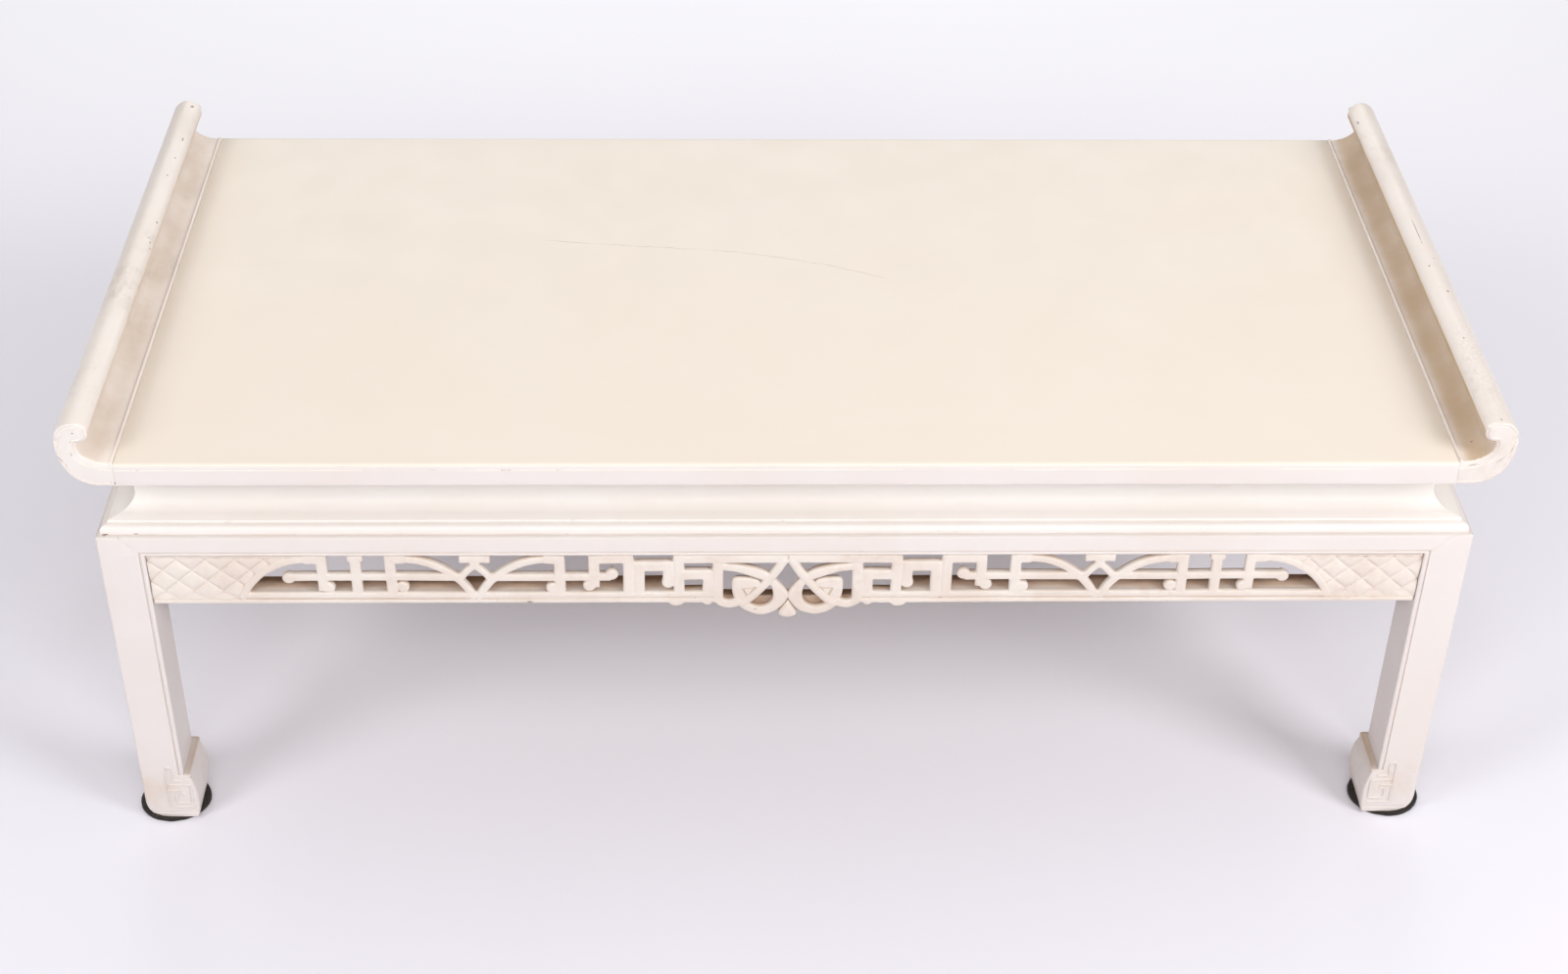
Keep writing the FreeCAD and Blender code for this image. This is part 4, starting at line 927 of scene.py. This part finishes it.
def keyFretTree():
    given = startTree("keyFretRidge", {"Width": "Float", "Rise": "Float", "Fillet": "Float", "Facing": "Vector"})
    path = addNode("GeometryNodeMeshToCurve", {"Mesh": given["Geometry"]})
    rounded = addNode("GeometryNodeFilletCurve", {"Curve": path, "Radius": given["Fillet"], "Count": 4,
                                                  "Limit Radius": True}, mode="POLY")
    upright = addNode("GeometryNodeSetCurveNormal", {"Curve": rounded, "Normal": given["Facing"]}, mode="FREE")
    ring = addNode("GeometryNodeCurvePrimitiveCircle", {"Resolution": 10, "Radius": 1.0})
    size = addNode("ShaderNodeCombineXYZ", {"X": times(given["Width"], 0.5), "Y": given["Rise"], "Z": 1.0})
    oval = addNode("GeometryNodeTransform", {"Geometry": ring, "Scale": size})
    swept = addNode("GeometryNodeCurveToMesh", {"Curve": upright, "Profile Curve": oval, "Fill Caps": True})
    return endTree(given, addNode("GeometryNodeSetShadeSmooth", {"Geometry": swept}))


def keyFretMesh(tree, place, facing):
    # The ridges on one face of the foot, as a mesh in millimetres.
    verts, edges = [], []
    for points in keyFretLines:
        edges += [(len(verts) + i, len(verts) + i + 1) for i in range(len(points) - 1)]
        verts += [place(x, z) for x, z in points]
    mesh = bpy.data.meshes.new("keyFretPath")
    mesh.from_pydata(verts, edges, [])
    return grown(newObject("keyFretPath", mesh), tree, dict(keyFretShape, Material=lacquerFace, Facing=facing))


def legBrowning(co):
    # Painted shade on the ledge over the foot, on its two inner sides; the whole foot is also a little browner
    # towards the bottom.
    s = legShape
    inside = abs(co.x) < s["faceX"] or abs(co.y) < s["faceY"]
    ledge = max(0.0, 1 - abs(co.z - s["ledge"]) / s["ledgeHalf"]) if inside else 0.0
    return ledge * s["ledgeAge"] + s["footAge"] * min(max((s["footAgeTop"] - co.z) / s["footAgeFade"], 0), 1)


def makeLegs():
    tree = keyFretTree()
    ridges = (keyFretMesh(tree, lambda x, z: (x, 0.25, z), (0, 1, 0)),
              keyFretMesh(tree, lambda x, z: (0.25, x, z), (1, 0, 0)))
    for corner, (wayX, wayY) in corners.items():
        piece = gathered([legBody(), footBody()])
        for ridge in ridges:
            piece.from_mesh(ridge)
        for v in piece.verts:
            v.co = ((v.co.x - halfFrame) * wayX, (v.co.y - halfFrameDepth) * wayY, v.co.z)
        piece.normal_update()
        bmesh.ops.recalc_face_normals(piece, faces=piece.faces)
        setAgeAndShade(makePiece("leg_" + corner, piece, [lacquerFace], 38), legBrowning)


makeLegs()
print("legs made")

# Fretwork
fretShape = {"height": 53.4, "gap": 1.2, "setback": 1.5, "depth": 12.0, "sillDepth": 24.0, "shallowSill": 10.6,
             "bar": 9.6, "rod": 8.0, "top": 10.0, "bow": 7.6, "strap": 8.2, "loop": 8.6, "sill": 6.8, "bead": 5.0,
             "yoke": 6.6, "wide": 10.8, "knob": 5.6, "soft": 1.3, "cell": 0.8, "sillRise": 0.1775,
             "beadRise": 0.052, "bowFoot": 0.16, "bowRise": 0.665, "topRise": 0.9195, "borderRise": 0.978,
             "border": 0.044, "topGap": 0.5, "endGap": 0.6, "midRise": 0.55, "commaRecess": 0.6,
             "fieldRecess": 2.4, "strapLift": 0.5, "pendantLift": 0.7, "sillLow": 2.2, "sillHigh": 3.2,
             "sillFront": 1.6, "rimDrop": 3.8, "fieldDrop": 2.3, "fieldRise": 4.9, "tongueFront": 5,
             "tongueBack": 10, "tongueLow": 2, "tongueRise": 1.15, "ageFront": 3.2, "knotAge": 6.5,
             "shallowAge": 9.0, "deepAge": 17.0, "wobble": 0.6, "ripple": 0.35}
fretBottom = railUnderside - fretShape["gap"] - fretShape["height"]
# How far a slab's faces lie in from its front and its back. The rods are undercut, so that openings look wider.
rodBand = {"inset": (0.0, 0.15, 0.6, 1.3, 2.4, 3.6), "front": (2.2, 1.35, 0.65, 0.2, 0.0, 0.0),
           "back": (7.2, 6.9, 6.1, 4.9, 3.1, 1.2)}
strapBand = {"inset": (0.0, 0.15, 0.7, 1.6, 3.0), "front": (2.6, 1.7, 0.9, 0.3, 0.0),
             "back": (6.4, 6.0, 4.8, 3.2, 1.4)}
pendantBand = {"inset": (0.0, 0.2, 0.8, 1.8, 3.4, 5.4), "front": (2.8, 2.0, 1.2, 0.6, 0.2, 0.0),
               "back": (6.0, 5.4, 4.4, 3.0, 1.6, 0.6)}
plateBand = {"inset": (0.0, 0.4), "front": (0.3, 0.0), "back": (0.5, 0.0)}
wedgeBand = {"inset": (-0.3, 0.5, 1.1), "front": (0.0, 1.3, 1.9)}
tongueBand = {"inset": (-0.5, 0.4), "front": (0.0, -1.5)}
# Places along are shares of the half length, heights are shares of the panel's height
longFret = {
    "bars": ((0.730, 0.26, 1.00), (0.677, 0.17, 1.00), (0.623, 0.17, 1.00), (0.359, 0.17, 1.00), (0.305, 0.34, 1.00),
             (0.2506, 0.17, 1.00), (0.2338, 0.17, 0.866), (0.1716, 0.17, 1.00), (0.1885, 0.42, 0.866),
             (0.1263, 0.17, 0.686)),
    "rods": ((0.515, 0.784, 0.55), (0.279, 0.468, 0.55)),
    "tops": ((0.730, 0.757), (0.600, 0.623), (0.359, 0.383), (0.2506, 0.305), (0.0, 0.1716)),
    "wides": ((0.1885, 0.2338, 0.765), (0.1263, 0.1716, 0.585)),
    "bows": ((0.860, 0.822, 0.757), (0.497, 0.535, 0.600), (0.486, 0.448, 0.383)),
    "knobs": ((0.722, 0.33), (0.606, 0.345), (0.371, 0.33), (0.313, 0.37), (0.784, 0.53), (0.277, 0.60),
              (0.1885, 0.42)),
    "smallKnobs": ((0.1765, 0.010, 3.9, 1.75), (0.1272, 0.020, 3.2, 1.45)),
    "caps": ((0.6645, 0.6895, 0.938),), "sillStep": 0.1716, "columns": 9,
}
shortFret = {"bars": ((0.384, 0.30, 1.00),), "rods": ((0.29, 0.520, 0.55),), "tops": ((0.0, 0.406),), "wides": (),
             "bows": ((0.655, 0.565, 0.406),), "knobs": ((0.520, 0.53), (0.372, 0.34)), "smallKnobs": (),
             "caps": (), "sillStep": 0.384, "columns": 8}
yokeShape = {"place": 0.4915, "half": 0.0245, "head": 0.928, "headWidth": 8.4, "neck": 0.79, "neckWidth": 9.0,
             "bend": 0.0118, "bendRise": 0.685, "foot": 0.0215}
# Half of the knot, in millimetres from its middle and above the panel's bottom
knotShape = {
    "bar": ((61.0, 3.2), (61.0, 46.2)),
    "ring": ((62.5, 43.7), (54.0, 43.3), (41.0, 41.9), (28.0, 38.7), (18.5, 33.9), (10.8, 26.5), (3.8, 17.6),
             (-0.4, 9.4), (1.4, 1.7), (8.6, -7.5), (16.6, -12.1), (24.5, -13.3), (34.0, -10.3), (42.0, -4.3),
             (40.5, 1.6), (34.0, -0.9), (27.6, -3.9), (21.6, -4.1), (16.4, -1.1), (13.2, 4.5), (12.9, 11.6),
             (14.8, 18.7), (19.5, 24.1), (26.0, 26.9), (33.0, 29.8), (43.5, 34.0), (56.0, 36.2), (62.5, 36.5)),
    "comma": ((22.0, 18.1), (25.5, 24.5), (31.0, 26.8), (38.0, 27.6), (45.8, 27.3), (48.6, 23.6), (48.6, 15.1),
              (47.2, 6.6), (43.0, -1.9), (37.5, -0.9), (28.0, 9.6)),
    "wedge": ((41.0, 16.3), (26.0, 17.9), (35.0, 4.9)),
    "tongue": ((38.2, 14.5), (30.2, 15.1), (34.6, 8.3)),
    "pendant": ((0.4, 3.0), (1.5, 1.0), (3.0, -1.3), (4.9, -4.9), (6.6, -7.9), (7.9, -10.5), (8.0, -12.5),
                (6.4, -14.7), (3.6, -16.1), (0.0, -16.6)),
    "diagonal": ((4.0, 46.1), (20.2, 20.2), (39.6, -1.0)),
    "loop": ((61.0, 3.5), (53.3, -1.4), (44.0, 0.9)),
}
knotRail = {"half": 58.0, "near": 6.0, "far": 14.8, "low": -5.4, "high": 4.1}


def knotLine(key):
    return [(x, fretBottom + z) for x, z in knotShape[key]]


def fretFields(grid, pattern, halfRun):
    # Distance fields of the panel's rods and of the knot's diagonal, which lies over them.
    s, y = fretShape, yokeShape
    px, pz = np.abs(grid["px"]), grid["pz"]

    def at(along, rise):
        return (halfRun * along, fretBottom + s["height"] * rise)

    def rod(fromPlace, toPlace, width):
        return rodField(px, pz, at(*fromPlace), at(*toPlace), width)

    def level(start, end, rise, width):
        return rodField(px, pz, (start, at(0, rise)[1]), (end, at(0, rise)[1]), width)

    parts = [rod((along, foot), (along, head), s["bar"]) for along, foot, head in pattern["bars"]]
    for key, width in (("rods", "rod"), ("wides", "wide"), ("caps", "yoke")):
        parts += [rod((a, rise), (b, rise), s[width]) for a, b, rise in pattern[key]]
    parts += [rod((a, s["topRise"]), (b, s["topRise"]), s["top"]) for a, b in pattern["tops"]]
    parts += [bowField(px, pz, at(foot, s["bowFoot"]), at(mid, s["bowRise"]), at(head, s["topRise"]), s["bow"])
              for foot, mid, head in pattern["bows"]]
    knobs = [(*place, s["knob"], 1) for place in pattern["knobs"]]
    for along, rise, radius, wide in [*knobs, *pattern["smallKnobs"]]:
        x, z = at(along, rise)
        parts.append(np.hypot((px - x) / wide, pz - z) - radius)
    if pattern is longFret:
        place, head, neck = y["place"], y["head"], y["neck"]
        parts += [rod((place - y["half"], head), (place + y["half"], head), y["headWidth"]),
                  rod((place, neck), (place, head), y["neckWidth"])]
        parts += [bowField(px, pz, at(place, neck), at(place + y["bend"] * way, y["bendRise"]),
                           at(place + y["foot"] * way, s["midRise"]), s["yoke"]) for way in (-1, 1)]
    diagonal = bowField(px, pz, *knotLine("diagonal"), s["strap"])
    parts += [rodField(px, pz, *knotLine("bar"), s["bar"]), pathField(px, pz, smoothLine(knotLine("ring"))), diagonal,
              bowField(px, pz, *knotLine("loop"), s["loop"])]
    start, (foot, _, head) = knotShape["bar"][0][0], pattern["bows"][0]
    parts.append(level(start, halfRun * foot + 2, s["sillRise"], s["sill"]))
    union = parts[0]
    for part in parts[1:]:
        union = blendFields(union, part, s["soft"])
    bead = level(start - 4, halfRun - 0.01, s["beadRise"], s["bead"])
    border = level(halfRun * head, halfRun - 0.01, s["borderRise"], s["height"] * s["border"])
    union = np.minimum(np.minimum(union, bead), border)
    return np.maximum(union, pz - (railUnderside - s["topGap"])), diagonal


def slab(grid, field, recess, back, band, grooves=()):
    # A carved slab of the panel with rounded edges, in the side's own frame. Grooves are fields with their bands.
    def front(x, z):
        depth = fretShape["setback"] + recess
        for groove, profile in ((field, band), *grooves):
            depth = depth + np.interp(-sample(grid, groove, x, z), profile["inset"], profile["front"])
        return depth

    def rear(x, z):
        return back - np.interp(-sample(grid, field, x, z), band["inset"], band["back"])

    cuts = [(field, -inset) for inset in band["inset"][1:]]
    cuts += [(groove, -inset) for groove, profile in grooves for inset in profile["inset"]]
    return carved(grid, field, cuts, front, rear)


def boxBody(lowX, highX, lowY, highY, lowZ, highZ, steps):
    ring = [(lowY, lowZ), (lowY, highZ), (highY, highZ), (highY, lowZ)]
    return loft([[(lowX + (highX - lowX) * k / steps, y, z) for y, z in ring] for k in range(steps + 1)])


quiltShape = {"Column": 12.45, "Row": 11.4, "Rise": 1.9, "originX": 12.0, "originZ": 305.6}
diamondRings = ((0.985, 2.2), (0.985, 0.15), (0.90, -0.25), (0.72, -0.62), (0.45, -0.86), (0.2, -0.96))


def quiltTree():
    # Diamonds repeated over the end field and cut off at its border.
    given = startTree("diaperQuilt", {"Places": "Object", "Diamond": "Object", "Column": "Float", "Row": "Float",
                                      "Rise": "Float"})
    spots = addNode("GeometryNodeObjectInfo", {"Object": given["Places"]}, "Geometry")
    shape = addNode("GeometryNodeObjectInfo", {"Object": given["Diamond"]}, "Geometry")
    size = addNode("ShaderNodeCombineXYZ", {"X": given["Column"], "Y": given["Rise"], "Z": given["Row"]})
    copies = addNode("GeometryNodeInstanceOnPoints", {"Points": addNode("GeometryNodeMeshToPoints", {"Mesh": spots}),
                                                      "Instance": shape, "Scale": size})
    real = addNode("GeometryNodeRealizeInstances", {"Geometry": copies})
    clipped = addNode("GeometryNodeMeshBoolean", {"Mesh 2": [given["Geometry"], real]}, operation="INTERSECT",
                      solver="EXACT")
    return endTree(given, clipped)


def newHolder(name, verts, faces):
    mesh = bpy.data.meshes.new(name)
    mesh.from_pydata(verts, [], faces)
    body = bmesh.new()
    body.from_mesh(mesh)
    bmesh.ops.remove_doubles(body, verts=body.verts, dist=0.002)
    bmesh.ops.recalc_face_normals(body, faces=body.faces)
    body.to_mesh(mesh)
    body.free()
    return newObject(name, mesh)


def diamondHolder():
    # One pillow-faced diamond, one unit to each tip, facing -Y.
    tips = ((1, 0), (0.5, 0.5), (0, 1), (-0.5, 0.5), (-1, 0), (-0.5, -0.5), (0, -1), (0.5, -0.5))
    verts, faces = loft([[(size * x, y, size * z) for x, z in tips] for size, y in diamondRings])
    return newHolder("quiltDiamond", verts, faces[2:] + faces[:2])


def quiltMesh(grid, field, tree, diamond, halfRun, columns):
    q, face = quiltShape, fretShape["setback"] + fretShape["fieldRecess"]
    prism = newHolder("quiltField", *carved(grid, field, [], lambda x, z: np.full(len(x), -4.0),
                                            lambda x, z: np.full(len(x), face + 2.0)))
    spots = []
    for way in (-1, 1):
        for row in range(-5, 3):
            for column in range(-columns, 3):
                x, z = halfRun - q["originX"] + column * q["Column"], q["originZ"] + row * q["Row"]
                near = sample(grid, field, np.array([x]), np.array([z]))[0]
                if (row + column) % 2 == 0 and near < q["Column"]:
                    spots.append((x * way, face, z))
    middles = newHolder("quiltPlaces", spots, [])
    made = grown(prism, tree, dict(q, Places=middles, Diamond=diamond, Material=lacquerFret))
    bpy.data.objects.remove(middles)
    return made


def fretAge(depth, along, step):
    # The wood behind the knot is bare and dark, the deep sill only turns brown towards its back.
    s, knotEnd = fretShape, knotShape["bar"][0][0] - 5
    reach = s["knotAge"] if along < knotEnd else s["shallowAge"] if along < step + 3 else s["deepAge"]
    return (depth - s["ageFront"]) / reach


def makeFret(sides, pattern, tree, diamond):
    s, k, face = fretShape, knotRail, fretShape["setback"]
    halfRun = sideSizes(sides[0])[2] - s["endGap"]
    bottom, top, back = fretBottom, fretBottom + s["height"], face + s["depth"]
    grid = fieldGrid(-halfRun - 3, halfRun + 3, bottom - 20, top + 3, s["cell"])
    px, pz = np.abs(grid["px"]), grid["pz"]
    union, over = fretFields(grid, pattern, halfRun)
    # The solid comma beside the diagonal, with its incised triangle, and the pendant in the middle
    comma = pathField(px, pz, smoothLine(knotLine("comma")))
    wedge, tongue = (pathField(px, pz, knotLine(key)) for key in ("wedge", "tongue"))
    half = knotLine("pendant")
    pendant = pathField(grid["px"], pz, half + [(-x, z) for x, z in half[::-1]][1:])
    bodies = [slab(grid, union, 0, back, rodBand), slab(grid, over, -s["strapLift"], back - 1, strapBand),
              slab(grid, comma, s["commaRecess"], back - 1, rodBand, ((wedge, wedgeBand), (tongue, tongueBand))),
              slab(grid, pendant, -s["pendantLift"], back, pendantBand)]
    # The deep sill behind the rods, shallower beside the knot, and the rail that runs on behind the knot
    low = bottom + s["beadRise"] * s["height"] - s["sillLow"]
    high = bottom + s["sillRise"] * s["height"] + s["sillHigh"]
    step = halfRun * pattern["sillStep"]
    for way in (-1, 1):
        for near, far, depth in ((knotShape["bar"][0][0] - 4, step, s["shallowSill"]),
                                 (step - 1, halfRun - 0.05, s["sillDepth"])):
            ends = sorted((near * way, far * way))
            bodies.append(boxBody(*ends, face + s["sillFront"], face + depth, low, high, 12))
    bodies.append(boxBody(-k["half"], k["half"], face + k["near"], face + k["far"], bottom + k["low"],
                          bottom + k["high"], 12))
    # The quilted end field and the plate round it
    foot, mid, head = (halfRun * share for share in pattern["bows"][0])
    end = halfRun - 0.1
    rim = arcPoints((head, top - s["rimDrop"]), (mid, bottom + s["bowRise"] * s["height"]),
                    (foot, bottom + s["bowFoot"] * s["height"]), 24)
    quilted, plate = (pathField(px, pz, [(end, high), (head, high)] + rim + [(foot, low), (end, low)])
                      for high, low in ((top - s["fieldDrop"], low + s["fieldRise"]), (top, low)))
    bodies.append(slab(grid, np.minimum(quilted, plate), s["fieldRecess"], back, plateBand))
    # The tongue along the top edge, up into the rail
    bodies.append(boxBody(-halfRun, halfRun, face + s["tongueFront"], face + s["tongueBack"],
                          top - s["tongueLow"], top + s["tongueRise"], 40))
    quilt = quiltMesh(grid, quilted, tree, diamond, halfRun, pattern["columns"])
    for side in sides:
        placed, distance = onSide(side), sideSizes(side)[0]
        piece = gathered(bodies, placed)
        known = len(piece.verts)
        piece.from_mesh(quilt)
        piece.verts.ensure_lookup_table()
        for v in piece.verts[known:]:
            v.co = placed(v.co)
        fret = makePiece("fretwork_" + side, piece, [lacquerFret], 34, s["wobble"], s["ripple"])
        axis = 1 if side in ("front", "back") else 0
        setAgeAndShade(fret, lambda co: fretAge(distance - abs(co[axis]), abs(co[1 - axis]), step))


def makeFretwork():
    tree, diamond = quiltTree(), diamondHolder()
    makeFret(("front", "back"), longFret, tree, diamond)
    makeFret(("right", "left"), shortFret, tree, diamond)
    bpy.data.objects.remove(diamond)


makeFretwork()
print("fretwork made")

# Felt pads with a fringe of loose fibres
padShape = {"inX": 21.6, "inY": 27.4, "radius": 33.0, "depthShare": 0.94, "thickness": 3.9, "steps": 72,
            "ragged": 0.9, "raggedScale": 2.2, "Length": 1.5, "Thickness": 0.12, "Density": 0.144, "Seed": 4}
# The felt's edge as inset from its radius and height
padEdge = ((9.0, 0.0), (0.9, 0.0), (0.25, 0.5), (0.0, 1.8), (0.15, 3.0), (0.8, padShape["thickness"] - 0.1),
           (8.0, padShape["thickness"]))


def fibreTree():
    given = startTree("feltFibres", {"Length": "Float", "Thickness": "Float", "Density": "Float", "Seed": "Int"})
    seed = given["Seed"]
    scatter = addNode("GeometryNodeDistributePointsOnFaces", {"Mesh": given["Geometry"], "Seed": seed,
                                                              "Density": given["Density"]}).node.outputs
    length = addNode("FunctionNodeRandomValue", {2: 0.35, 3: 1.0, "Seed": seed}, 1, data_type="FLOAT")
    strand = addNode("GeometryNodeMeshCone", {"Vertices": 3, "Radius Bottom": given["Thickness"],
                                              "Radius Top": 0.02, "Depth": given["Length"]})
    tilt = addNode("FunctionNodeRandomValue", {0: (-0.7, -0.7, -3.0), 1: (0.7, 0.7, 3.0)}, data_type="FLOAT_VECTOR")
    turned = addNode("FunctionNodeRotateRotation", {0: scatter["Rotation"], 1: tilt}, rotation_space="LOCAL")
    copies = addNode("GeometryNodeInstanceOnPoints", {"Points": scatter["Points"], "Instance": strand,
                                                      "Rotation": turned, "Scale": length})
    return endTree(given, addNode("GeometryNodeJoinGeometry", {0: [given["Geometry"], copies]}))


def makePads():
    s, tree = padShape, fibreTree()
    turns = [math.tau * k / s["steps"] for k in range(s["steps"])]
    for number, (corner, (wayX, wayY)) in enumerate(corners.items()):
        rings = []
        for inset, z in padEdge:
            ring = []
            for across, along in ((math.cos(turn), math.sin(turn)) for turn in turns):
                spot = Vector((across * s["raggedScale"], along * s["raggedScale"], number * 7.0 + z * 0.2))
                radius = s["radius"] - inset - s["ragged"] * abs(noise.noise(spot))
                ring.append(((s["inX"] + radius * across - halfFrame) * wayX,
                             (s["inY"] + radius * s["depthShare"] * along - halfFrameDepth) * wayY, z))
            rings.append(ring)
        piece = gathered([loft(rings)])
        holder = newObject("padBody", bpy.data.meshes.new("padBody"))
        piece.to_mesh(holder.data)
        piece.clear()
        piece.from_mesh(grown(holder, tree, dict(s, Seed=s["Seed"] + number, Material=feltBlack)))
        makePiece("foot_pad_" + corner, piece, [feltBlack], 50, 0.0)


makePads()
print("pads made")

# Joinery that keeps its own shape
for name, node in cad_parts.items():
    for start, material, slot in (("cross_batten", woodInside, "bare_wood"),
                                  ("corner_block", woodInside, "bare_wood"), ("waist_screws", steelAged, "steel")):
        if name.startswith(start):
            node.data.materials.clear()
            node.data.materials.append(material)

# Floor, light and camera
studio = {"nearFloor": (0.90, 0.875, 0.94), "farFloor": (0.965, 0.955, 1.0), "cloudFloor": (0.5, 0.48, 0.55),
          "world": 0.37, "farGlow": 0.09}
# Each lamp's place, the point that it looks at, its width, height and power
lamps = {"left": ((-1.95, -1.7, 1.85), (0, 0, 0.25), 1.0, 1.0, 23.0),
         "right": ((1.95, -1.7, 1.85), (0, 0, 0.25), 1.0, 1.0, 37.5),
         "front": ((0.0, -2.75, 2.0), (0, 0, 0.2), 2.6, 1.2, 34.5),
         "back": ((0.0, 3.6, 2.1), (0, 2.1, 0.0), 3.6, 1.4, 50.0)}
viewpoint = {"place": (-58.59, -1940.24, 1624.13), "yaw": 1.602, "pitch": 36.632, "roll": 0.867, "focal": 2499.66,
             "centreX": 791.26, "centreY": 496.38, "width": 1600.0, "height": 994.0, "sensor": 36.0}


def makeFloor():
    material, coords = startMaterial("paleFloor")
    depth = addNode("ShaderNodeSeparateXYZ", {0: coords}, "Y")
    # Painted light: the floor's colour grows lighter towards the back
    colour = mixed(ranged(depth, 0.3, 1.5), studio["nearFloor"], studio["farFloor"])
    colour = mixed(ranged(noised(coords, 1.3, 2), 0.3, 0.7, 0.0, 0.03), colour, studio["cloudFloor"])
    # Painted light: the far floor glows a little where the camera sees it, without lighting the table
    seen = addNode("ShaderNodeLightPath", out="Is Camera Ray")
    glow = times(seen, ranged(depth, -0.1, 1.1, 0.0, studio["farGlow"]))
    endMaterial(material, {"Base Color": colour, "Emission Color": (0.97, 0.95, 1.0, 1), "Emission Strength": glow,
                           "Roughness": 0.9, "Specular IOR Level": 0.1})
    mesh = bpy.data.meshes.new("studioFloor")
    mesh.from_pydata([(-9, -6, -0.0003), (9, -6, -0.0003), (9, 12, -0.0003), (-9, 12, -0.0003)], [], [(0, 1, 2, 3)])
    mesh.materials.append(material)
    newObject("studioFloor", mesh)


def makeLights():
    scene = bpy.context.scene
    scene.world = bpy.data.worlds.new("studio")
    scene.world.use_nodes = True
    making["tree"] = scene.world.node_tree
    setInputs(making["tree"].nodes["Background"], {"Color": (1.0, 1.0, 1.0, 1), "Strength": studio["world"]})
    scene.view_settings.view_transform = "Standard"
    for name, (place, target, width, height, power) in lamps.items():
        data = bpy.data.lights.new(name + "Lamp", "AREA")
        data.shape = "RECTANGLE"
        data.size, data.size_y, data.energy = width, height, power
        lamp = newObject(name + "Lamp", data)
        lamp.location = place
        lamp.rotation_euler = (Vector(target) - Vector(place)).to_track_quat("-Z", "Y").to_euler()


def placeCamera():
    v = viewpoint
    yaw, pitch, roll = (math.radians(v[k]) for k in ("yaw", "pitch", "roll"))
    ahead = Vector((math.sin(yaw) * math.cos(pitch), math.cos(yaw) * math.cos(pitch), -math.sin(pitch)))
    across = Vector((math.cos(yaw), -math.sin(yaw), 0))
    up = across.cross(ahead)
    right = across * math.cos(roll) + up * math.sin(roll)
    top = up * math.cos(roll) - across * math.sin(roll)
    data = bpy.data.cameras.new("photoCamera")
    data.sensor_width = v["sensor"]
    data.lens = v["focal"] * v["sensor"] / v["width"]
    data.shift_x = (v["width"] / 2 - v["centreX"]) / v["width"]
    data.shift_y = (v["centreY"] - v["height"] / 2) / v["width"]
    data.clip_start, data.clip_end = 0.05, 60
    camera = newObject("photoCamera", data)
    turn = Matrix((right, top, -ahead)).transposed().to_4x4()
    camera.matrix_world = Matrix.Translation(Vector(v["place"]) * mm) @ turn
    bpy.context.scene.camera = camera


makeFloor()
makeLights()
placeCamera()
print("studio made")
